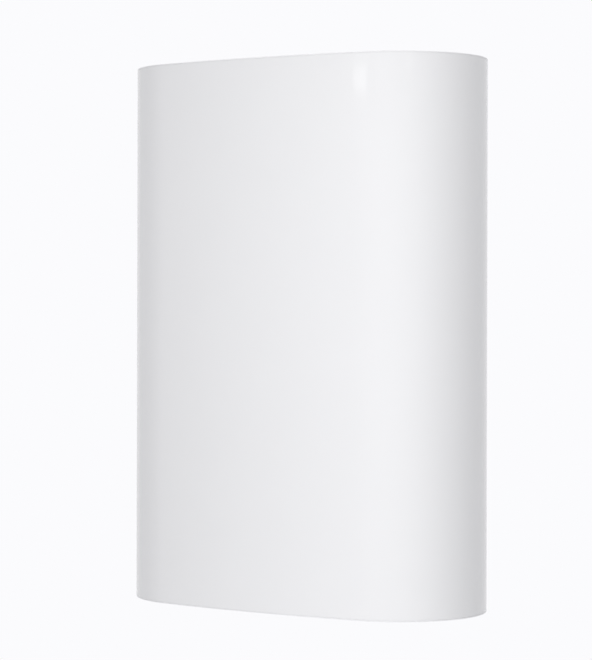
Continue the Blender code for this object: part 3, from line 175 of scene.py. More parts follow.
# Fineness
ARC_STEP = math.radians(10)
TURN_STEPS = 72
MERGE = 0.00001
SHARP = math.radians(32)
QUARTER = math.tau / 4
UNDERSIDE = Matrix.Rotation(math.pi, 4, "X")
REARWARD = Matrix.Rotation(-QUARTER, 4, "X")


# Node trees written as expressions
class Signal:
    """An output in a node tree. Its operators add Math nodes."""

    def __init__(self, graph, socket):
        self.graph = graph
        self.socket = socket

    def __add__(self, other):
        return self.graph.math("ADD", self, other)

    def __sub__(self, other):
        return self.graph.math("SUBTRACT", self, other)

    def __rsub__(self, other):
        return self.graph.math("SUBTRACT", other, self)

    def __mul__(self, other):
        return self.graph.math("MULTIPLY", self, other)

    def __truediv__(self, other):
        return self.graph.math("DIVIDE", self, other)

    def __rtruediv__(self, other):
        return self.graph.math("DIVIDE", other, self)

    def __pow__(self, other):
        return self.graph.math("POWER", self, other)

    def __rpow__(self, other):
        return self.graph.math("POWER", other, self)

    def __gt__(self, other):
        return self.graph.math("GREATER_THAN", self, other)

    def __abs__(self):
        return self.graph.math("ABSOLUTE", self)

    __radd__ = __add__
    __rmul__ = __mul__

    def clamped(self):
        return self.graph.math("MAXIMUM", self.graph.math("MINIMUM", self, 1.0), 0.0)


class Graph:
    """A node tree and the one method that adds to it."""

    def __init__(self, tree):
        self.tree = tree

    def node(self, kind, inputs=None, output=0, **settings):
        """Adds a node: its settings first, then the values or links of its sockets."""
        made = self.tree.nodes.new(kind)
        for key, value in settings.items():
            setattr(made, key, value)
        for key, value in (inputs or {}).items():
            self.feed(made.inputs[key], value)
        return Signal(self, made.outputs[output]) if made.outputs else None

    def math(self, operation, *values):
        return self.node("ShaderNodeMath", dict(enumerate(values)), operation=operation)

    def feed(self, socket, value):
        if isinstance(value, Signal):
            self.tree.links.new(value.socket, socket)
        else:
            socket.default_value = value


class Finish(Graph):
    """A surface finish: a Principled shader with its fixed values, then what varies over it."""

    def __init__(self, name, fixed):
        self.material = bpy.data.materials.new(name)
        self.material.use_nodes = True
        super().__init__(self.material.node_tree)
        self.shader = self.tree.nodes["Principled BSDF"]
        self.relief = None
        for key, value in fixed.items():
            self.shader.inputs[key].default_value = value

    def place(self, stretch=None):
        """Object coordinates, stretched along each axis where asked."""
        spot = self.node("ShaderNodeTexCoord", output="Object")
        return self.node("ShaderNodeMapping", {"Vector": spot, "Scale": stretch}) if stretch else spot

    def height(self):
        return self.node("ShaderNodeSeparateXYZ", {"Vector": self.place()}, "Z")

    def noise(self, scale, detail=2.0, stretch=None):
        inputs = {"Vector": self.place(stretch), "Scale": scale, "Detail": detail}
        return self.node("ShaderNodeTexNoise", inputs)

    def cells(self, scale, output="Distance"):
        return self.node("ShaderNodeTexVoronoi", {"Vector": self.place(), "Scale": scale}, output)

    def blend(self, factor, first, second):
        """A colour between two."""
        first, second = [(*c, 1.0) if isinstance(c, tuple) else c for c in (first, second)]
        return self.node("ShaderNodeMix", {0: factor, 6: first, 7: second}, 2, data_type="RGBA")

    def surface(self, colour, roughness):
        self.feed(self.shader.inputs["Base Color"], colour)
        self.feed(self.shader.inputs["Roughness"], roughness)

    def bump(self, height, distance, strength=1.0):
        """Relief of a height in metres, over any relief that is already there."""
        inputs = {"Height": height, "Distance": distance, "Strength": strength}
        if self.relief is not None:
            inputs["Normal"] = self.relief
        self.relief = self.node("ShaderNodeBump", inputs)
        self.feed(self.shader.inputs["Normal"], self.relief)


# Finishes
def enamel_finish():
    """Glossy white powder enamel on sheet steel, with its faint orange peel."""
    made = Finish("glossy_enamel", {"IOR": 1.5, "Coat Weight": 0.35, "Coat Roughness": 0.05})
    white = made.blend(made.noise(9.0, 3.0), (0.845, 0.845, 0.855), (0.860, 0.860, 0.869))
    made.surface(white, 0.20 + 0.05 * made.noise(40.0))
    made.bump(made.noise(7.0, 1.0), 0.00035, 0.25)
    made.bump(made.noise(330.0, 2.0), 0.000012)
    return made.material


def moulded_finish(name, dark, light, roughness, gloss=0.0):
    """Moulded plastic with a fine spark-eroded grain and faint flow clouds."""
    made = Finish(name, {"IOR": 1.49, "Coat Weight": gloss, "Coat Roughness": 0.05})
    made.surface(made.blend(made.noise(22.0, 3.0), dark, light), roughness - 0.05 + 0.10 * made.noise(160.0))
    made.bump(made.noise(1500.0, 1.0), 0.000020, 0.6)
    made.bump(made.noise(30.0, 1.0), 0.00010, 0.2)
    return made.material


def zinc_finish():
    """Bright zinc plating: a fine spangle, faint yellow and blue bloom and rolling marks."""
    made = Finish("bright_zinc", {"Metallic": 1.0})
    plated = made.blend(made.noise(26.0, 3.0), (0.42, 0.44, 0.47), (0.52, 0.51, 0.46))
    spangle = made.node("ShaderNodeSeparateColor", {"Color": made.cells(420.0, "Color")}, "Red")
    rolled = made.noise(90.0, 2.0, (0.2, 4.0, 4.0))
    bright = made.blend(0.25 * spangle, plated, (0.66, 0.67, 0.68))
    made.surface(bright, 0.30 + 0.14 * rolled + 0.08 * spangle)
    made.bump(rolled, 0.00004, 0.5)
    return made.material


def foam_finish():
    """Rigid foam: small broken cells with a darker skin where it met the mould."""
    made = Finish("rigid_foam", {"Specular IOR Level": 0.2})
    cells, skin = made.cells(520.0), made.noise(14.0, 4.0)
    body = made.blend(skin, (0.72, 0.58, 0.28), (0.86, 0.76, 0.46))
    made.surface(made.blend(cells, body, (0.90, 0.82, 0.56)), 0.88 + 0.10 * skin)
    made.bump(cells, 0.0006)
    return made.material


def stainless_finish(name, welds=(), width=0.012):
    """Brushed stainless steel, with straw and blue heat tint along its welds."""
    made = Finish(name, {"Metallic": 1.0})
    brushed = made.noise(60.0, 3.0, (1.0, 1.0, 14.0))
    tone = made.blend(brushed, (0.56, 0.56, 0.57), (0.68, 0.68, 0.67))
    for weld in welds:
        heat = (1 - abs(made.height() - weld) / width).clamped()
        tone = made.blend(0.55 * heat, tone, (0.62, 0.47, 0.25))
        tone = made.blend(0.7 * heat**5, tone, (0.22, 0.26, 0.42))
    made.surface(tone, 0.22 + 0.20 * brushed)
    made.bump(brushed, 0.00003, 0.5)
    return made.material


def brass_finish():
    """Machined brass with turning marks and a few dull patches."""
    made = Finish("machined_brass", {"Metallic": 1.0})
    marks, dull = made.noise(40.0, 2.0, (0.3, 0.3, 60.0)), made.noise(55.0, 4.0)
    tone = made.blend(dull, (0.80, 0.62, 0.30), (0.62, 0.46, 0.22))
    made.surface(tone, 0.22 + 0.12 * marks + 0.18 * dull)
    made.bump(marks, 0.00004, 0.6)
    return made.material


def copper_finish():
    """Drawn copper tube with brown oxide."""
    made = Finish("drawn_copper", {"Metallic": 1.0})
    oxide = made.noise(70.0, 4.0)
    made.surface(made.blend(oxide, (0.83, 0.47, 0.32), (0.45, 0.22, 0.14)), 0.25 + 0.30 * oxide)
    made.bump(made.noise(900.0), 0.00002, 0.5)
    return made.material


def magnesium_finish():
    """Extruded magnesium: dull, streaked along its length and slightly pitted."""
    made = Finish("extruded_magnesium", {"Metallic": 1.0})
    streak = made.noise(120.0, 3.0, (1.0, 1.0, 0.05))
    made.surface(made.blend(streak, (0.46, 0.47, 0.48), (0.62, 0.63, 0.63)), 0.48 + 0.25 * streak)
    made.bump(made.cells(260.0), 0.0002, 0.6)
    return made.material


def rubber_finish():
    """Black rubber with a pale bloom."""
    made = Finish("bloomed_rubber", {"Specular IOR Level": 0.3})
    bloom = made.noise(180.0, 4.0)
    made.surface(made.blend(bloom, (0.018, 0.018, 0.019), (0.050, 0.050, 0.052)), 0.70 + 0.20 * bloom)
    made.bump(made.noise(1300.0), 0.00003)
    return made.material


def lens_finish():
    """Clear lens with hairline scratches."""
    made = Finish("scratched_lens", {"Transmission Weight": 1.0, "IOR": 1.49})
    clear = made.blend(made.noise(30.0), (0.97, 0.98, 0.98), (0.99, 0.995, 0.99))
    made.surface(clear, 0.02 + 0.10 * (made.noise(220.0, 2.0, (1.0, 12.0, 1.0)) > 0.74))
    return made.material


def ink_finish(name, colour):
    """Screen-printed ink, slightly uneven."""
    made = Finish(name, {"IOR": 1.45})
    uneven = made.noise(900.0, 2.0)
    lighter = tuple(min(1.0, 1.35 * c + 0.02) for c in colour)
    made.surface(made.blend(0.6 * uneven, colour, lighter), 0.45 + 0.15 * uneven)
    return made.material


# The finish of each material slot, then the inks
FINISHES = {
    "white_enamel": enamel_finish(),
    "white_plastic": moulded_finish("moulded_white", (0.83, 0.83, 0.842), (0.85, 0.85, 0.86), 0.30, 0.35),
    "grey_plastic": moulded_finish("moulded_grey", (0.26, 0.27, 0.28), (0.31, 0.32, 0.33), 0.45),
    "black_plastic": moulded_finish("moulded_black", (0.024, 0.024, 0.026), (0.040, 0.040, 0.043), 0.50),
    "red_plastic": moulded_finish("moulded_red", (0.56, 0.030, 0.025), (0.64, 0.045, 0.035), 0.38),
    "blue_plastic": moulded_finish("moulded_blue", (0.025, 0.11, 0.48), (0.040, 0.15, 0.56), 0.38),
    "dial_white": moulded_finish("dial_card", (0.84, 0.84, 0.83), (0.88, 0.88, 0.87), 0.55),
    "zinc_steel": zinc_finish(),
    "yellow_foam": foam_finish(),
    "stainless": stainless_finish("brushed_stainless"),
    "brass": brass_finish(),
    "copper": copper_finish(),
    "magnesium": magnesium_finish(),
    "black_rubber": rubber_finish(),
    "clear_lens": lens_finish(),
    "grey_ink": ink_finish("grey_ink", (0.16, 0.17, 0.18)),
    "black_ink": ink_finish("black_ink", (0.020, 0.020, 0.022)),
    "red_ink": ink_finish("red_ink", (0.62, 0.04, 0.03)),
    "blue_ink": ink_finish("blue_ink", (0.04, 0.16, 0.58)),
}


# Outlines
def arc(centre, radius, start, end, steps):
    """Points on a circle, from one angle to another."""
    angles = [start + (end - start) * i / steps for i in range(steps + 1)]
    return [(centre[0] + radius * math.cos(a), centre[1] + radius * math.sin(a)) for a in angles]


def polygon(centre, radius, sides):
    """Corners at even steps round a circle."""
    return arc(centre, radius, 0, math.tau, sides)[:-1]


def casing_outline():
    """The casing seen from above, anticlockwise from the back of the left end."""
    low, high = 3 * QUARTER - FRONT_ANGLE, 3 * QUARTER + FRONT_ANGLE
    left_end = arc((-END_X, END_Y), END_RADIUS, QUARTER, low, END_STEPS)
    front = arc((0, FRONT_Y + FRONT_RADIUS), FRONT_RADIUS, low, high, FRONT_STEPS)
    right_end = arc((END_X, END_Y), END_RADIUS, high, 5 * QUARTER, END_STEPS)
    return left_end + front[1:-1] + right_end


def rounded_rectangle(centre, width, depth, radius, steps=10):
    """A rectangle with round corners, anticlockwise."""
    x, y = width / 2 - radius, depth / 2 - radius
    points = []
    for i, (dx, dy) in enumerate([(x, y), (-x, y), (-x, -y), (x, -y)]):
        points += arc((centre[0] + dx, centre[1] + dy), radius, i * QUARTER, i * QUARTER + QUARTER, steps)
    return points


def mirrored(half):
    """Half an outline, followed by its mirror image."""
    return half + [(-x, *rest) for x, *rest in half[::-1]]


def subdivided(outline, longest):
    """An outline whose long sides are split, so that it can be bent."""
    points = []
    for (x, y), (nx, ny) in zip(outline, outline[1:] + outline[:1]):
        parts = max(1, math.ceil(math.hypot(nx - x, ny - y) / longest))
        points += [(x + (nx - x) * i / parts, y + (ny - y) * i / parts) for i in range(parts)]
    return points


def filleted(corners, cyclic=False):
    """A line through corners, each (x, y) or, where it is rounded, (x, y, radius)."""
    count = len(corners)
    points = []
    for i, (x, y, *rounding) in enumerate(corners):
        if not rounding or not (cyclic or 0 < i < count - 1):
            points.append((x, y))
            continue
        corner, radius = Vector((x, y)), rounding[0]
        back = (Vector(corners[i - 1][:2]) - corner).normalized()
        ahead = (Vector(corners[(i + 1) % count][:2]) - corner).normalized()
        half = back.angle(ahead) / 2
        centre = corner + (back + ahead).normalized() * radius / math.sin(half)
        first = corner + back * radius / math.tan(half) - centre
        last = corner + ahead * radius / math.tan(half) - centre
        steps = max(2, round((math.pi - 2 * half) / ARC_STEP))
        turn = first.angle_signed(last)
        for step in range(steps + 1):
            points.append(tuple(centre + Matrix.Rotation(-turn * step / steps, 2) @ first))
    return points


# Recipes for what repeats or follows a path
class Recipe(Graph):
    """A geometry tree with named inputs that ends in real faces with their material."""

    def __init__(self, name, **inputs):
        super().__init__(bpy.data.node_groups.new(name, "GeometryNodeTree"))
        face = self.tree.interface
        for key, kind in {"Geometry": "Geometry", **inputs, "Material": "Material"}.items():
            face.new_socket(key, in_out="INPUT", socket_type="NodeSocket" + kind)
        face.new_socket("Geometry", in_out="OUTPUT", socket_type="NodeSocketGeometry")

    def given(self, name):
        return self.node("NodeGroupInput", output=name)

    def shape(self, name):
        """What an object that is given looks like."""
        return self.node("GeometryNodeObjectInfo", {"Object": self.given(name)}, "Geometry")

    def sweep(self, path, section, ends):
        """Ends the recipe with a section carried along a path, kept upright."""
        upright = self.node("GeometryNodeSetCurveNormal", {"Curve": path}, mode="Z_UP")
        inputs = {"Curve": upright, "Profile Curve": section, "Fill Caps": ends}
        return self.end(self.node("GeometryNodeCurveToMesh", inputs))

    def spread(self, points, name, **turn):
        """Ends the recipe with an object on every point."""
        inputs = {"Points": points, "Instance": self.shape(name), **turn}
        return self.end(self.node("GeometryNodeInstanceOnPoints", inputs))

    def end(self, geometry):
        """Makes the geometry real and gives its faces the material."""
        real = self.node("GeometryNodeRealizeInstances", {"Geometry": geometry})
        inputs = {"Geometry": real, "Material": self.given("Material")}
        self.node("NodeGroupOutput", {"Geometry": self.node("GeometryNodeSetMaterial", inputs)})
        return self


def casing_sweep():
    """Sweeps a section round a path. A section point is (-inset, -height)."""
    made = Recipe("casing_sweep", Path="Object", Section="Object", Ends="Bool")
    return made.sweep(made.shape("Path"), made.shape("Section"), made.given("Ends"))


def spread_fasteners():
    """One fastener on every point, each turned by its own amount."""
    made = Recipe("spread_fasteners", Fastener="Object", Seed="Int")
    inputs = {"Max": (0.0, 0.0, math.tau), "Seed": made.given("Seed")}
    turn = made.node("FunctionNodeRandomValue", inputs, data_type="FLOAT_VECTOR")
    return made.spread(made.given("Geometry"), "Fastener", Rotation=turn)


def pipe_thread():
    """A thread's ridge wound round a stub. A section point is (-outward, up)."""
    made = Recipe("pipe_thread", Ridge="Object", Radius="Float", Turns="Float", Length="Float")
    radius = made.given("Radius")
    inputs = {
        "Resolution": 40, "Rotations": made.given("Turns"), "Start Radius": radius, "End Radius": radius,
        "Height": made.given("Length"),
    }
    return made.sweep(made.node("GeometryNodeCurveSpiral", inputs), made.shape("Ridge"), True)


def ring_of_marks():
    """Marks at even steps along a dial, each pointing outward."""
    made = Recipe("ring_of_marks", Mark="Object", Count="Int", First="Float", Sweep="Float", Radius="Float")
    radius, count = made.given("Radius"), made.given("Count")
    clock = made.given("First") + made.given("Sweep") / (count - 1) * made.node("GeometryNodeInputIndex")
    inputs = {"X": radius * made.math("SINE", clock), "Y": radius * made.math("COSINE", clock)}
    spot = made.node("ShaderNodeCombineXYZ", inputs)
    points = made.node("GeometryNodePoints", {"Count": count})
    placed = made.node("GeometryNodeSetPosition", {"Geometry": points, "Position": spot})
    return made.spread(placed, "Mark", Rotation=made.node("ShaderNodeCombineXYZ", {"Z": 0 - clock}))


def row_of_marks():
    """Marks at even steps along a straight row."""
    made = Recipe("row_of_marks", Mark="Object", Count="Int", Start="Vector", Step="Vector")
    start, step = made.given("Start"), made.given("Step")
    inputs = {"Count": made.given("Count"), "Start Location": start, "Offset": step}
    return made.spread(made.node("GeometryNodeMeshLine", inputs, mode="OFFSET"), "Mark")


CASING_SWEEP = casing_sweep()
SPREAD_FASTENERS = spread_fasteners()
PIPE_THREAD = pipe_thread()
RING_OF_MARKS = ring_of_marks()
ROW_OF_MARKS = row_of_marks()


# Meshes
def object_of(name, data):
    """An object in the scene, for data that a later step uses up."""
    made = bpy.data.objects.new(name, data)
    bpy.context.collection.objects.link(made)
    return made


def line_object(points, cyclic):
    """A curve object of straight stretches through flat points."""
    curve = bpy.data.curves.new("line", "CURVE")
    curve.dimensions = "3D"
    spline = curve.splines.new("POLY")
    spline.points.add(len(points) - 1)
    for point, spot in zip(spline.points, points):
        point.co = (*spot, 0, 1)
    spline.use_cyclic_u = cyclic
    return object_of("line", curve)


def plain_mesh(points, faces=(), finish=None):
    """A mesh of given corners and faces."""
    mesh = bpy.data.meshes.new("plain")
    mesh.from_pydata(points, [], faces)
    if finish is not None:
        mesh.materials.append(FINISHES[finish])
    return mesh


def baked(holder):
    """The evaluated mesh of an object, which is then removed."""
    depsgraph = bpy.context.evaluated_depsgraph_get()
    mesh = bpy.data.meshes.new_from_object(holder.evaluated_get(depsgraph))
    bpy.data.objects.remove(holder)
    return mesh


def grown(recipe, finish, points=(), **inputs):
    """Runs a recipe once and keeps its result as plain faces."""
    holder = object_of("grown", plain_mesh(points))
    modifier = holder.modifiers.new("recipe", "NODES")
    modifier.node_group = recipe.tree
    sockets = {item.name: item.identifier for item in recipe.tree.interface.items_tree}
    for key, value in {**inputs, "Material": FINISHES[finish]}.items():
        modifier[sockets[key]] = value
    mesh = baked(holder)
    for value in inputs.values():
        if isinstance(value, bpy.types.Object):
            bpy.data.objects.remove(value)
    return mesh


def mesh_of(work, finish=None, mesh=None):
    """Turns the faces outward and ends the work, in a new mesh or in the one that was opened."""
    bmesh.ops.recalc_face_normals(work, faces=work.faces)
    mesh = mesh or plain_mesh((), (), finish)
    work.to_mesh(mesh)
    work.free()
    return mesh


def reopened(mesh):
    """A mesh opened for work again, with doubled corners merged."""
    work = bmesh.new()
    work.from_mesh(mesh)
    bmesh.ops.remove_doubles(work, verts=work.verts, dist=MERGE)
    return work


def closed(mesh):
    """Merges doubled corners and closes every open loop with one flat face."""
    work = reopened(mesh)
    bmesh.ops.holes_fill(work, edges=[edge for edge in work.edges if edge.is_boundary])
    return mesh_of(work, mesh=mesh)


def softened(mesh, radius, segments=2):
    """Rounds the sharp edges of a mesh."""
    work = reopened(mesh)
    sharp = [edge for edge in work.edges if edge.is_manifold and edge.calc_face_angle() > SHARP]
    bmesh.ops.bevel(
        work, geom=sharp, offset=radius, segments=segments, profile=0.5, affect="EDGES", clamp_overlap=True
    )
    return mesh_of(work, mesh=mesh)


def lofted(levels, finish=None, cyclic=False):
    """A body through outlines at given heights. Unless cyclic, its ends are closed or are points."""
    work = bmesh.new()
    rings = [[work.verts.new((x, y, height)) for x, y in outline] for outline, height in levels]
    for low, high in zip(rings, rings[1:] + rings[:1] if cyclic else rings[1:]):
        for i in range(max(len(low), len(high))):
            square = [(low, i), (low, i + 1), (high, i + 1), (high, i)]
            distinct = list(dict.fromkeys(ring[place % len(ring)] for ring, place in square))
            if len(distinct) > 2:
                work.faces.new(distinct)
    if not cyclic and len(rings[0]) > 2:
        work.faces.new(rings[0][::-1])
        work.faces.new(rings[-1])
    return mesh_of(work, finish)


def turned(corners, centre=(0, 0), finish=None, steps=TURN_STEPS, cyclic=False):
    """A body turned about an upright axis through corners of radius, height and, where round, rounding."""
    line = filleted(corners, cyclic)
    levels = [(polygon(centre, radius, steps if radius > 0 else 1), height) for radius, height in line]
    return lofted(levels, finish, cyclic)


def prism(outline, low, high, finish=None):
    """An outline carried straight up."""
    return lofted([(outline, low), (outline, high)], finish)


def joined(*meshes):
    """One mesh of several, each with its own finish."""
    work = bmesh.new()
    finishes = []
    for mesh in meshes:
        known = len(work.faces)
        work.from_mesh(mesh)
        work.faces.ensure_lookup_table()
        for face in work.faces[known:] if mesh.materials else ():
            finish = mesh.materials[face.material_index]
            if finish not in finishes:
                finishes.append(finish)
            face.material_index = finishes.index(finish)
    made = bpy.data.meshes.new("joined")
    work.to_mesh(made)
    work.free()
    for finish in finishes:
        made.materials.append(finish)
    return made


def moved(mesh, *matrices):
    """Carries a mesh by matrices, the last one first."""
    for matrix in reversed(matrices):
        mesh.transform(matrix)
    return mesh


def shifted(x, y, z):
    return Matrix.Translation((x, y, z))


def below(place, z):
    """Carries what faces +Z at the origin to the underside, facing down."""
    return shifted(*place, z) @ UNDERSIDE


def drilled(mesh, *cutters, operation="DIFFERENCE"):
    """Cuts holes through a mesh, or keeps only what lies in the cutters."""
    tool = object_of("tool", joined(*cutters))
    holder = object_of("drilled", mesh)
    modifier = holder.modifiers.new("cut", "BOOLEAN")
    modifier.operation = operation
    modifier.solver = "EXACT"
    modifier.object = tool
    made = baked(holder)
    bpy.data.objects.remove(tool)
    return made


def round_hole(radius, x, y, low, high, steps=48):
    """A round cutter that runs upward."""
    return turned([(0, low), (radius, low), (radius, high), (0, high)], (x, y), steps=steps)


def rear_hole(radius, x, z, low, high, steps=24):
    """A round cutter that runs rearward."""
    return moved(round_hole(radius, 0, 0, low, high, steps), shifted(x, 0, z), REARWARD)


def middle_of(node):
    low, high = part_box(node)
    return (low + high) / 2


def lettering(words, size, finish=None, rise=0.0):
    """Words as a flat or raised mesh, facing +Z, with their middle at the origin."""
    text = bpy.data.curves.new("words", "FONT")
    text.body = words
    text.size = size
    text.align_x = "CENTER"
    text.align_y = "CENTER"
    text.extrude = rise / 2
    text.resolution_u = 4
    return moved(mesh_of(reopened(baked(object_of("words", text))), finish), shifted(0, 0, rise / 2))


def swept(path, section, finish, tube=False):
    """Sweeps a section of (inset, height) corners round a path seen from above.

    A tube's section is closed and its path has ends. A tray's path is closed and its middle gets filled.
    """
    section = line_object([(-inset, -height) for inset, height in filleted(section, tube)], tube)
    return closed(grown(CASING_SWEEP, finish, Path=line_object(path, not tube), Section=section, Ends=tube))


def add_piece(name, mesh, slot, replaced=(), body="heater"):
    """Makes a piece of a mesh, on its body, its flats shaded flat beside round edges.

    A mesh without a finish takes that of its slot.
    """
    if not mesh.materials:
        mesh.materials.append(FINISHES[slot])
    mesh.shade_smooth()
    mesh.set_sharp_from_angle(angle=SHARP)
    holder = object_of("shaded", mesh)
    holder.modifiers.new("weights", "WEIGHTED_NORMAL").keep_sharp = True
    mesh = baked(holder)
    mesh.name = name
    made = object_of(name, mesh)
    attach(made, body)
    if replaced:
        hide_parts(*replaced)


# Casing
def rear_holes(nodes, radius, depth=2 * CAP_WALL):
    """Cutters into the back of the casing, on the axes of fasteners."""
    return [rear_hole(radius, *middle_of(node).xz, BACK_Y - depth, BACK_Y + CAP_WALL) for node in nodes]


def add_jacket():
    """Wraps the sheet round the heater, open by the seam at the middle of the back."""
    path = [(-SEAM_GAP / 2, BACK_Y), *casing_outline(), (SEAM_GAP / 2, BACK_Y)]
    low, high = JACKET_LOW.z, JACKET_HIGH.z
    section = [(x, z, SHEET_EDGE) for x, z in [(0, low), (SHEET, low), (SHEET, high), (0, high)]]
    sheet = swept(path, section, "white_enamel", tube=True)
    screw_holes = rear_holes(CAP_SCREWS, SCREW_HOLE, CAP_WALL)
    sheet = drilled(sheet, *screw_holes, *rear_holes(RAIL_BOLTS, BOLT_HOLE, CAP_WALL))
    add_piece("jacket_sheet", sheet, "white_enamel", ["jacket"])


def cap_side(rim, side, inward):
    """The round rim of a cap and its spigot in the jacket, which points upward (1) or downward (-1)."""
    inner, spigot = SPIGOT_INSET + CAP_WALL, side + inward * SPIGOT
    return [
        (CAP_EDGE + RIM_RING, rim), (0, rim, CAP_EDGE), (0, side, JOINT), (SPIGOT_INSET, side, JOINT),
        (SPIGOT_INSET, spigot, JOINT), (inner, spigot, JOINT), (inner, rim + inward * CAP_WALL),
    ]


def add_top_cap():
    """Moulds the lid: a flat top, a tight rounded rim and a spigot."""
    side = cap_side(TOP_Z, JACKET_HIGH.z + CAP_GAP, -1)
    section = [(FILL_INSET, TOP_Z), *side, (FILL_INSET, TOP_Z - CAP_WALL)]
    cap = swept(casing_outline(), section, "white_plastic")
    cap = drilled(cap, *rear_holes(CAP_SCREWS[:2], SCREW_HOLE))
    add_piece("top_cap_moulding", cap, "white_plastic", ["top_cap"])


def add_bottom_cap():
    """Moulds the base: a rounded rim, a spigot, the recess and its drilled and lettered panel."""
    wall, lip = RIM_Z + CAP_WALL, RECESS_INSET - RECESS_DRAFT
    section = [
        (FILL_INSET, CEILING_Z), (RECESS_INSET + RECESS_DRAFT, CEILING_Z, 0.002),
        (RECESS_INSET, RIM_Z + RECESS_DRAFT, 0.0015), (lip, RIM_Z, 0.0015),
        *cap_side(RIM_Z, JACKET_LOW.z - CAP_GAP, 1), (lip - CAP_WALL, wall, 0.0005),
        (RECESS_INSET - CAP_WALL, wall + RECESS_DRAFT, 0.0005), (RECESS_INSET + 0.0005, PANEL_Z, 0.001),
        (FILL_INSET, PANEL_Z),
    ]
    cap = swept(casing_outline(), section, "white_plastic")
    foot, root = COVER_Z + COVER_WALL + CLEARANCE, CEILING_Z + CAP_WALL / 2
    post = [(SCREW_HOLE, root), (0.0050, root), (0.0050, foot, 0.0005), (SCREW_HOLE, foot)]
    added = [turned(post, place, cyclic=True) for place in POST_PLACES]
    holes = []
    for name, (word, _, crest, _, _) in CONNECTIONS.items():
        spot = middle_of(name + "_stub")
        holes.append((crest + CLEARANCE, spot))
        label = lettering(word, WORD_SIZE, rise=WORD_RISE)
        added.append(moved(label, shifted(spot.x, spot.y + WORD_ROW, CEILING_Z), UNDERSIDE))
    holes += [(ACCESS_HOLE, middle_of("anode_cap_" + side)) for side in SIDES]
    holes.append((GROMMET_HOLE, GROMMET_PLACE))
    low, high = CEILING_Z - CAP_WALL, PANEL_Z + CAP_WALL
    cutters = [round_hole(radius, *spot[:2], low, high) for radius, spot in holes]
    cap = drilled(cap, *rear_holes(CAP_SCREWS[2:], SCREW_HOLE), *cutters)
    add_piece("bottom_cap_moulding", joined(cap, *added), "white_plastic", ["bottom_cap"])


def add_seam_strip():
    """Folds the strip over the jacket's joint, with a row of clinch dimples down each side."""
    low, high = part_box("jacket_seam_strip")
    half, hem, rise = high.x, 0.004, 0.001
    foot, ridge = high.y - rise, high.y
    outer = mirrored([(half, foot), (hem + rise, foot, 0.0008), (hem, ridge, 0.0008)])
    under = mirrored([(-half, low.y), (-hem - rise * 0.5, low.y), (-hem * 0.85, low.y + rise)])
    parts = [softened(prism(filleted(outer + under, cyclic=True), low.z, high.z), 0.0002)]
    step = (high.z - low.z - 2 * DIMPLE_END) / (DIMPLES - 1)
    for side in (-1, 1):
        dimple = object_of("dimple", turned([
            (0, 0.0004), (0.0012, 0.0004, 0.0006), (0.0022, 0), (0.0022, -0.0002), (0, -0.0002),
        ], steps=20))
        start = (side * DIMPLE_X, DIMPLE_END, 0)
        row = grown(ROW_OF_MARKS, "white_enamel", Mark=dimple, Count=DIMPLES, Start=start, Step=(0, step, 0))
        parts.append(moved(row, shifted(0, foot, high.z), REARWARD))
    add_piece("seam_strip", joined(*parts), "white_enamel", ["jacket_seam_strip"])


# Fasteners
def pan_head_screw(length):
    """A pan-head screw with a cross recess, head up, its seat at height zero."""
    radius, head, rise = 0.0017, 0.0036, 0.0022
    screw = turned([
        (0, rise), (head * 0.7, rise, 0.0008), (head, rise * 0.4, 0.0006), (head, 0, 0.0002), (radius, 0),
        (radius, 0.0006 - length), (radius * 0.7, -length), (0, -length),
    ], steps=40)
    arm = [(-0.0019, -0.00042), (0.0019, -0.00042), (0.0019, 0.00042), (-0.0019, 0.00042)]
    for turn in (0, QUARTER):
        wing = lofted([([(x * 0.4, y) for x, y in arm], rise * 0.25), (arm, rise * 1.2)])
        screw = drilled(screw, moved(wing, Matrix.Rotation(turn, 4, "Z")))
    return screw


def flange_bolt():
    """A hexagon bolt with a chamfered head on its flange, head up."""
    flange = turned([
        (0, 0.0012), (0.0078, 0.0012), (0.0095, 0.0008, 0.0003), (0.0095, 0, 0.0002), (0.0040, 0),
        (0.0040, -0.0212), (0.0032, -0.022), (0, -0.022),
    ], steps=60)
    head = softened(prism(polygon((0, 0), 0.0075, 6), 0.0010, 0.0055), 0.00025)
    cone = turned([(0, 0), (0.0085, 0), (0.0085, 0.0044), (0.0062, 0.0056), (0, 0.0056)], steps=60)
    dish = turned([(0, 0.0050), (0.0042, 0.0060), (0, 0.0060)], steps=40)
    return joined(flange, drilled(drilled(head, cone, operation="INTERSECT"), dish))


def add_fasteners(name, fastener, nodes, tilt, axis, seat):
    """Puts a fastener at every node, with the seats of their heads at one level along an axis."""
    points = []
    for node in nodes:
        spot = middle_of(node)
        spot[axis] = seat
        points.append(tilt.inverted() @ spot)
    fastener = object_of(name, fastener)
    spread = grown(SPREAD_FASTENERS, "zinc_steel", points, Fastener=fastener, Seed=len(nodes))
    add_piece(name, moved(closed(spread), tilt), "zinc_steel", nodes)


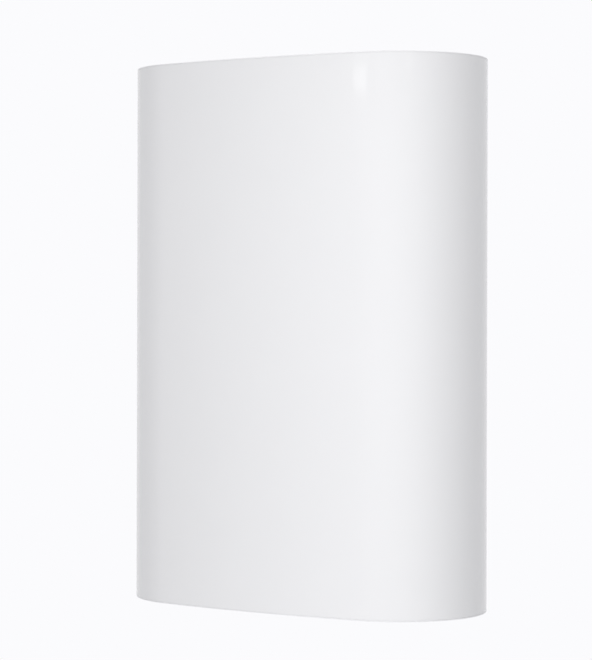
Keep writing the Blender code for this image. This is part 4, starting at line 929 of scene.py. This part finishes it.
# Hanging rails
def add_rail(node):
    """Presses a hat-shaped rail with slots for the hooks and holes for its bolts."""
    low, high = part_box(node)
    foot, wide_bend = low.y + RAIL_SHEET, RAIL_BEND + RAIL_SHEET
    shift = RAIL_SHEET * math.tan(math.atan2(-foot, RAIL_FOOT_X - RAIL_RIDGE_X) / 2)
    inner_foot, inner_ridge = shift - RAIL_FOOT_X, shift - RAIL_RIDGE_X
    outer = mirrored([(high.x, foot), (RAIL_FOOT_X, foot, RAIL_BEND), (RAIL_RIDGE_X, 0, wide_bend)])
    under = mirrored([
        (-high.x, low.y), (inner_foot, low.y, wide_bend), (inner_ridge, -RAIL_SHEET, RAIL_BEND),
    ])
    rail = prism(filleted(outer + under, cyclic=True), low.z, high.z)
    z = (low.z + high.z) / 2
    start = low.y - RAIL_SHEET
    cutters = []
    for side in (-1, 1):
        slot = rounded_rectangle((side * RAIL_SLOT_X, -z), *RAIL_SLOT, 12)
        cutters.append(moved(prism(slot, start, RAIL_SHEET), REARWARD))
        cutters.append(rear_hole(BOLT_HOLE, side * RAIL_BOLT_X, z, start, RAIL_SHEET, 48))
    rail = softened(drilled(rail, *cutters), 0.00025)
    add_piece(node + "_pressing", rail, "zinc_steel", [node])


# Connections
def add_stub(name):
    """Turns a connection and winds its thread."""
    _, _, crest, bore, socket = CONNECTIONS[name]
    low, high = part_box(name + "_stub")
    x, y = middle_of(name + "_stub").xy
    root, seat, run = crest - THREAD_DEPTH, PANEL_Z + CLEARANCE, low.z + THREADED
    collar = seat + COLLAR_HEIGHT
    if socket is None:
        upper = [(bore, high.z), (bore + 0.0010, high.z, 0.0002), (bore + 0.0010, collar, 0.0010)]
    else:
        ledge = high.z - SOCKET_DEPTH
        upper = [
            (bore, ledge), (socket, ledge), (socket, high.z, 0.0004), (socket + 0.003, high.z, 0.0004),
            (socket + 0.003, collar, 0.0010),
        ]
    lower = [
        (0.0175, collar, 0.0005), (0.0175, seat, 0.0003), (crest, seat), (crest, run + 0.0015, 0.0005),
        (root, run, 0.0003), (root, low.z + 0.0008), (root - 0.0008, low.z), (bore + 0.0006, low.z),
        (bore, low.z + 0.0006),
    ]
    body = turned(upper + lower, (x, y), cyclic=True)
    length = THREADED - 2 * THREAD_END
    ridge = mirrored([(0.0007, 0.0003), (0.00012, -THREAD_DEPTH)])
    ridge = line_object([(across, -along) for along, across in ridge], True)
    turns = length / THREAD_PITCH
    thread = closed(grown(PIPE_THREAD, "brass", Ridge=ridge, Radius=root, Turns=turns, Length=length))
    moved(thread, shifted(x, y, low.z + THREAD_END))
    add_piece(name + "_connection", joined(body, thread), "brass", [name + "_stub"])


def add_stub_ring(name):
    """Moulds the coloured ring round a connection, with a groove in its face."""
    slot, inner = CONNECTIONS[name][1], CONNECTIONS[name][2] + CLEARANCE
    low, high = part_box(name + "_ring")
    outer = inner + RING_WIDTH
    ring = turned([
        (inner, high.z), (outer, high.z, 0.0002), (outer, low.z, 0.0007), (outer - 0.0016, low.z, 0.0002),
        (outer - 0.0020, low.z + 0.0004, 0.0002), (inner + 0.0016, low.z + 0.0004, 0.0002),
        (inner + 0.0012, low.z, 0.0002), (inner, low.z, 0.0005),
    ], middle_of(name + "_ring"), cyclic=True)
    add_piece(name + "_collar", ring, slot, [name + "_ring"])


def add_anode_cap(side):
    """Moulds the cap over an anode, with a sunk middle and a coin grip."""
    node = "anode_cap_" + side
    low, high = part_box(node)
    spot = middle_of(node)
    face, outer, skirt = CEILING_Z - CLEARANCE, high.x - spot.x, 0.0237
    cap = turned([
        (0, low.z + 0.0013), (0.0125, low.z + 0.0013, 0.0004), (0.0140, low.z + 0.0002, 0.0006),
        (0.0215, low.z, 0.0006), (outer, low.z + 0.0006, 0.0004), (outer, face, 0.0002),
        (skirt, face, 0.0002), (skirt, high.z, 0.0003), (skirt - 0.0018, high.z, 0.0003),
        (skirt - 0.0018, face + 0.0006, 0.0005), (0, face + 0.0006),
    ], spot)
    bar = rounded_rectangle(spot, 0.0190, 0.0032, 0.0014, 8)
    wide = rounded_rectangle(spot, 0.0196, 0.0040, 0.0017, 8)
    levels = [(wide, 0.0015), (wide, 0.0012), (bar, 0.0002), (bar, 0.0001)]
    grip = lofted([(outline, low.z + rise) for outline, rise in levels])
    add_piece("anode_cover_" + side, joined(cap, grip), "white_plastic", [node])


# Service cover
def add_service_cover():
    """Moulds the tray that carries the controls, with their holes."""
    width, depth = COVER_HIGH.x - COVER_LOW.x, COVER_HIGH.y - COVER_LOW.y
    inset, floor, top = 0.005, COVER_Z + COVER_WALL, COVER_HIGH.z
    section = [
        (inset, COVER_Z), (0, COVER_Z, 0.0020), (0, COVER_Z + 0.0060, 0.0002),
        (0.0004, COVER_Z + 0.0063, 0.0001), (0.0004, COVER_Z + 0.0069, 0.0001),
        (0, COVER_Z + 0.0072, 0.0002), (0, top, 0.0004), (COVER_WALL, top, 0.0004),
        (COVER_WALL, floor, 0.0008), (inset, floor),
    ]
    outline = rounded_rectangle((0, COVER_Y), width, depth, 0.008, 12)
    holes = [(0.0033, KNOB_PLACE), (0.0223, GAUGE_PLACE), (0.0034, BUTTON_PLACE), (0.0083, GLAND_PLACE)]
    holes += [(SCREW_HOLE, place) for place in POST_PLACES]
    low, high = COVER_Z - COVER_WALL, floor + COVER_WALL
    cutters = [round_hole(radius, *place, low, high) for radius, place in holes]
    cover = drilled(swept(outline, section, "white_plastic"), *cutters)
    add_piece("service_cover_moulding", cover, "white_plastic", ["service_cover"])


def flat_mark(width, length):
    """A flat bar pointing outward, centred on its spot, facing +Z."""
    x, y = width / 2, length / 2
    return plain_mesh([(-x, -y, 0), (x, -y, 0), (x, y, 0), (-x, y, 0)], [(0, 1, 2, 3)])


def ring_of(mark, count, radius, finish, first=0.0, sweep=None):
    """A mark at even steps along a dial, or all the way round."""
    if sweep is None:
        sweep = math.tau * (count - 1) / count
    mark = object_of("mark", mark)
    return grown(RING_OF_MARKS, finish, Mark=mark, Count=count, First=first, Sweep=sweep, Radius=radius)


def dial_band(inner, outer, first, last, ink, steps=40):
    """A printed arc between two clock angles, facing +Z."""
    clocks = [QUARTER - first - (last - first) * i / steps for i in range(steps + 1)]
    spots = [(radius * math.cos(a), radius * math.sin(a), 0) for a in clocks for radius in (inner, outer)]
    return plain_mesh(spots, [(i, i + 2, i + 3, i + 1) for i in range(0, 2 * steps, 2)], ink)


def dial(first, sweep, strokes, numbers, size, radius, bands, ink):
    """A printed dial, upright at the origin and facing +Z.

    A stroke is (width, length, count, radius). A band is (inner, outer, first share, last share, ink).
    """
    parts = []
    for width, length, count, at in strokes:
        parts.append(ring_of(flat_mark(width, length), count, at, ink, first, sweep))
    for i, number in enumerate(numbers):
        clock = first + sweep * i / (len(numbers) - 1)
        spot = shifted(radius * math.sin(clock), radius * math.cos(clock), 0)
        parts.append(moved(lettering(str(number), size, ink), spot))
    for inner, outer, low, high, band_ink in bands:
        parts.append(dial_band(inner, outer, first + sweep * low, first + sweep * high, band_ink))
    return joined(*parts)


def add_cover_print():
    """Prints the knob's scale and the button's word on the cover."""
    strokes = [(0.0006, 0.0020, 7, 0.0203), (0.0003, 0.0011, 31, 0.01985)]
    bands = [(0.0214, 0.0216, 0, 0.75, "grey_ink"), (0.0214, 0.0216, 0.75, 1, "red_ink")]
    scale = dial(KNOB_REST_CLOCK, KNOB_SWEEP, strokes, KNOB_NUMBERS, 0.0034, 0.0241, bands, "grey_ink")
    word = moved(lettering("RESET", 0.0036, "grey_ink"), shifted(0, -0.0066, 0))
    level = COVER_Z - COVER_PRINT_GAP
    printed = joined(moved(scale, below(KNOB_PLACE, level)), moved(word, below(BUTTON_PLACE, level)))
    add_piece("cover_print", printed, "grey_plastic")


def add_knob():
    """Moulds the knob: a ribbed skirt, a waisted grip bar and a pointer line."""
    skirt = turned([
        (0, 0.0062), (0.0033, 0.0062), (0.0033, 0, 0.0003), (0.0190, 0, 0.0002), (0.0190, 0.0020, 0.0006),
        (0.0176, 0.0030, 0.0004), (0.0160, 0.0036, 0.0004), (0.0155, 0.0075, 0.0012), (0, 0.0072),
    ], finish="white_plastic", steps=96)
    rib = turned([(0, 0.0071), (0.0004, 0.0071, 0.0002), (0.0005, 0.0034), (0, 0.0034)], steps=10)
    ribs = ring_of(rib, 60, 0.0156, "white_plastic")
    outline = subdivided(rounded_rectangle((0, 0), 0.0070, 0.0316, 0.0030, 8), 0.0012)
    waisted = [(x * (1 - 0.22 * max(0.0, 1 - (y / 0.0125)**2)), y) for x, y in outline]
    levels = [
        (1.10, 0.985, 0.0040), (1.04, 0.985, 0.0072), (0.96, 0.975, 0.0112), (0.88, 0.965, 0.0121),
        (0.72, 0.945, 0.0125),
    ]
    levels = [([(x * wide, y * long) for x, y in waisted], z) for wide, long, z in levels]
    grip = lofted(levels, "white_plastic")
    pointer = prism(rounded_rectangle((0, 0.0088), 0.0010, 0.0100, 0.0003, 3), 0.0118, 0.01258, "red_ink")
    knob = joined(skirt, ribs, grip, pointer)
    moved(knob, below(KNOB_PLACE, COVER_FACE), Matrix.Rotation(-KNOB_REST_CLOCK, 4, "Z"))
    add_piece("knob_moulding", knob, "white_plastic", ["thermostat_knob"], "knob")


def add_gauge():
    """Builds the thermometer's bezel, printed card and lens."""
    low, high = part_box("thermometer_case")
    dial_low, dial_high = [corner.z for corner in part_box("thermometer_dial")]
    lens_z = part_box("thermometer_lens")[0].z
    ledge, ceiling, neck = lens_z - CLEARANCE, dial_high + CLEARANCE, high.z - 0.0012
    case = turned([
        (0, high.z), (0.022, high.z, 0.0008), (0.022, COVER_FACE, 0.0001), (0.025, COVER_FACE, 0.0003),
        (0.025, low.z, 0.0010), (0.0222, low.z, 0.0008), (0.0196, low.z + 0.0010, 0.0001), (0.0196, ledge),
        (0.0208, ledge), (0.0208, ceiling), (0.0022, ceiling), (0.0022, neck), (0, neck),
    ], GAUGE_PLACE)
    add_piece("gauge_case", case, "grey_plastic", ["thermometer_case"])
    card = [(0.0010, dial_high), (0.0205, dial_high), (0.0205, dial_low), (0.0010, dial_low)]
    add_piece("gauge_card", turned(card, GAUGE_PLACE, cyclic=True), "dial_white", ["thermometer_dial"])
    strokes = [(0.0006, 0.0026, 7, 0.0173), (0.0004, 0.0018, 13, 0.0177), (0.0002, 0.0011, 61, 0.01805)]
    bands = [(0.0188, 0.0193, 0, 1 / 3, "blue_ink"), (0.0188, 0.0193, 0.75, 1, "red_ink")]
    scale = dial(GAUGE_ZERO_CLOCK, GAUGE_SWEEP, strokes, GAUGE_NUMBERS, 0.0037, 0.0134, bands, "black_ink")
    unit = moved(lettering("°C", 0.0042, "black_ink"), shifted(0, -0.0075, 0))
    printed = moved(joined(scale, unit), below(GAUGE_PLACE, dial_low - DIAL_PRINT_GAP))
    add_piece("gauge_print", printed, "black_plastic")
    lens = turned([
        (0, lens_z + 0.0014), (0.0205, lens_z + 0.0014, 0.0002), (0.0205, lens_z + 0.0004, 0.0001),
        (0.0194, lens_z + 0.0002, 0.0005), (0, lens_z),
    ], GAUGE_PLACE)
    add_piece("gauge_lens", lens, "clear_lens", ["thermometer_lens"])


def add_needle():
    """Cuts the thermometer's needle, with its hub and arbor."""
    low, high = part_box("thermometer_needle")
    top = high.z - ARBOR
    depth = top - low.z
    hub = turned([
        (0, depth), (0.0022, depth, 0.0002), (0.0022, 0), (0.0007, 0), (0.0007, -ARBOR), (0, -ARBOR),
    ], steps=40)
    outline = mirrored([(0.0007, -0.005), (0.0006, 0.006), (0.00018, 0.016)])
    blade = softened(prism(outline, depth * 0.2, depth * 0.8), 0.00006, 1)
    needle = joined(hub, blade)
    moved(needle, below(GAUGE_PLACE, top), Matrix.Rotation(-NEEDLE_REST_CLOCK, 4, "Z"))
    add_piece("gauge_needle", needle, "black_plastic", ["thermometer_needle"], "needle")


def add_button():
    """Moulds the reset button with a dished tip."""
    low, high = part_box("reset_button")
    button = turned([
        (0, low.z + 0.0004), (0.0016, low.z + 0.0003, 0.0004), (0.0021, low.z, 0.0003),
        (0.0028, low.z, 0.0005), (0.0028, high.z, 0.0002), (0, high.z),
    ], BUTTON_PLACE, steps=48)
    add_piece("button_moulding", button, "red_plastic", ["reset_button"], "button")


def add_gland():
    """Moulds the cable gland: a hexagon, a ribbed dome and a rubber insert."""
    low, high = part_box("cable_gland")
    drop, rise = COVER_FACE - low.z, high.z - COVER_FACE
    hexagon = prism(polygon((0, 0), 0.011, 6), 0, 0.004, "black_plastic")
    hexagon = softened(drilled(hexagon, round_hole(0.0070, 0, 0, -0.001, 0.005)), 0.0003)
    body = turned([
        (0.0055, -rise), (0.0080, -rise, 0.0003), (0.0080, -0.0004), (0.0078, 0.0040),
        (0.0078, drop - 0.0022, 0.0010), (0.0064, drop, 0.0006), (0.0055, drop, 0.0003),
    ], finish="black_plastic", cyclic=True)
    rib = turned([(0, 0.0068), (0.0005, 0.0066, 0.0002), (0.0005, 0.0040), (0, 0.0040)], steps=10)
    ribs = ring_of(rib, 30, 0.0078, "black_plastic")
    insert = turned([
        (0.0042, -rise + 0.002), (0.0056, -rise + 0.002), (0.0056, drop - 0.0004, 0.0003),
        (0.0042, drop - 0.0009, 0.0003),
    ], finish="black_rubber", cyclic=True)
    gland = moved(joined(hexagon, body, ribs, insert), below(GLAND_PLACE, COVER_FACE))
    add_piece("cable_gland_moulding", gland, "black_plastic", ["cable_gland"])


# Carried-over solids
def dress_solids():
    """Gives every solid the finish of its slot, and the tanks their heat tint."""
    low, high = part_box("tank_left")
    welded = stainless_finish("welded_stainless", (low.z + WELD_RISE, high.z - WELD_RISE))
    for node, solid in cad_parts.items():
        for holder in solid.material_slots:
            slot = holder.material.name.split(".")[0]
            holder.material = welded if node.startswith("tank_") else FINISHES[slot]


# Set
def seen_directly(graph):
    """One for the camera's rays and for reflections and clear parts, zero for what lights a surface."""
    seen = graph.node("ShaderNodeLightPath", output="Is Camera Ray")
    for name in ("Is Glossy Ray", "Is Transmission Ray"):
        seen = graph.math("MAXIMUM", seen, graph.node("ShaderNodeLightPath", output=name))
    return seen


def floor_material():
    """A pale floor that keeps the heater's shadow and fades into the background."""
    material = bpy.data.materials.new("pale_floor")
    material.use_nodes = True
    graph = Graph(material.node_tree)
    graph.tree.nodes.remove(graph.tree.nodes["Principled BSDF"])
    spot = graph.node("ShaderNodeTexCoord", output="Object")
    reach = graph.node("ShaderNodeVectorMath", {0: spot}, "Value", operation="LENGTH")
    away = ((reach - FLOOR_CLEAR) / (FLOOR_RADIUS - FLOOR_CLEAR)).clamped()
    gone = graph.math("MAXIMUM", away, graph.node("ShaderNodeNewGeometry", output="Backfacing"))
    diffuse = graph.node("ShaderNodeBsdfDiffuse", {"Color": (*FLOOR_COLOUR, 1)})
    pale = graph.node("ShaderNodeEmission", {"Color": (*BACKGROUND, 1)})
    lit = graph.node("ShaderNodeMixShader", {0: FLOOR_LIFT * seen_directly(graph), 1: diffuse, 2: pale})
    clear = graph.node("ShaderNodeBsdfTransparent")
    mixed = graph.node("ShaderNodeMixShader", {0: gone, 1: lit, 2: clear})
    graph.feed(graph.tree.nodes["Material Output"].inputs["Surface"], mixed)
    return material


def add_floor():
    """A round floor under the hanging heater."""
    rim = polygon((0, 0), FLOOR_RADIUS, TURN_STEPS)
    mesh = plain_mesh([(x, y, 0) for x, y in rim], [range(TURN_STEPS)])
    mesh.materials.append(floor_material())
    floor = object_of("floor", mesh)
    floor.location.z = RIM_Z - FLOOR_DROP


def light_world():
    """The background's colour to the camera and in reflections; an even level to everything else."""
    world = bpy.data.worlds.new("studio")
    world.use_nodes = True
    bpy.context.scene.world = world
    graph = Graph(world.node_tree)
    back = world.node_tree.nodes["Background"]
    back.inputs["Color"].default_value = (*BACKGROUND, 1)
    graph.feed(back.inputs["Strength"], AMBIENT + (1 - AMBIENT) * seen_directly(graph))


def area_lamp(name, place, target, width, height, watts):
    """A rectangular lamp turned towards a point, which the camera doesn't see."""
    data = bpy.data.lights.new(name, "AREA")
    data.shape = "RECTANGLE"
    data.size, data.size_y = width, height
    data.energy = watts
    lamp = object_of(name, data)
    lamp.location = place
    lamp.rotation_euler = (Vector(target) - lamp.location).to_track_quat("-Z", "Y").to_euler()
    lamp.visible_camera = False
    return lamp


def add_lamps():
    """Soft lamps that reflections don't show, and two windows that only reflections show."""
    centre = Vector((0, END_Y, (TOP_Z + RIM_Z) / 2))
    for name, (azimuth, distance, rise, *lamp) in LAMPS.items():
        place = centre + Vector((distance * math.sin(azimuth), -distance * math.cos(azimuth), rise))
        area_lamp(name, place, centre, *lamp).visible_glossy = False
    for name, window in WINDOWS.items():
        area_lamp(name, *window).visible_diffuse = False


def add_camera():
    """The photograph's view: level, from the right front."""
    data = bpy.data.cameras.new("camera")
    data.sensor_width = SENSOR
    data.lens = LENS
    data.shift_y = (HORIZON_ROW - PHOTO_HEIGHT / 2) / PHOTO_HEIGHT
    camera = object_of("camera", data)
    turn = Matrix.Rotation(CAMERA_AZIMUTH, 4, "Z")
    orbit = Vector((0, ORBIT_Y, TOP_Z - CAMERA_DROP))
    camera.location = orbit + turn @ Vector((CAMERA_SIDE, -CAMERA_DISTANCE, 0))
    level = turn @ Matrix.Rotation(QUARTER, 4, "X")
    camera.rotation_euler = (level @ Matrix.Rotation(CAMERA_ROLL, 4, "Z")).to_euler()
    bpy.context.scene.camera = camera


add_camera()
add_jacket()
add_top_cap()
add_bottom_cap()
add_seam_strip()
add_fasteners("cap_screws", pan_head_screw(0.0036), CAP_SCREWS, REARWARD, 1, BACK_Y + CLEARANCE)
rail_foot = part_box("top_rail")[0].y + RAIL_SHEET
add_fasteners("rail_bolts", flange_bolt(), RAIL_BOLTS, REARWARD, 1, rail_foot + CLEARANCE)
cover_screw = pan_head_screw(COVER_WALL + POST_LENGTH - CLEARANCE)
add_fasteners("cover_screws", cover_screw, COVER_SCREWS, UNDERSIDE, 2, COVER_FACE)
for rail in ("top_rail", "bottom_rail"):
    add_rail(rail)
for stub in CONNECTIONS:
    add_stub(stub)
for stub in CONNECTIONS:
    add_stub_ring(stub)
for hand in SIDES:
    add_anode_cap(hand)
add_service_cover()
add_cover_print()
add_knob()
add_gauge()
add_needle()
add_button()
add_gland()
dress_solids()
add_floor()
light_world()
add_lamps()
bpy.context.scene.view_settings.view_transform = "Standard"
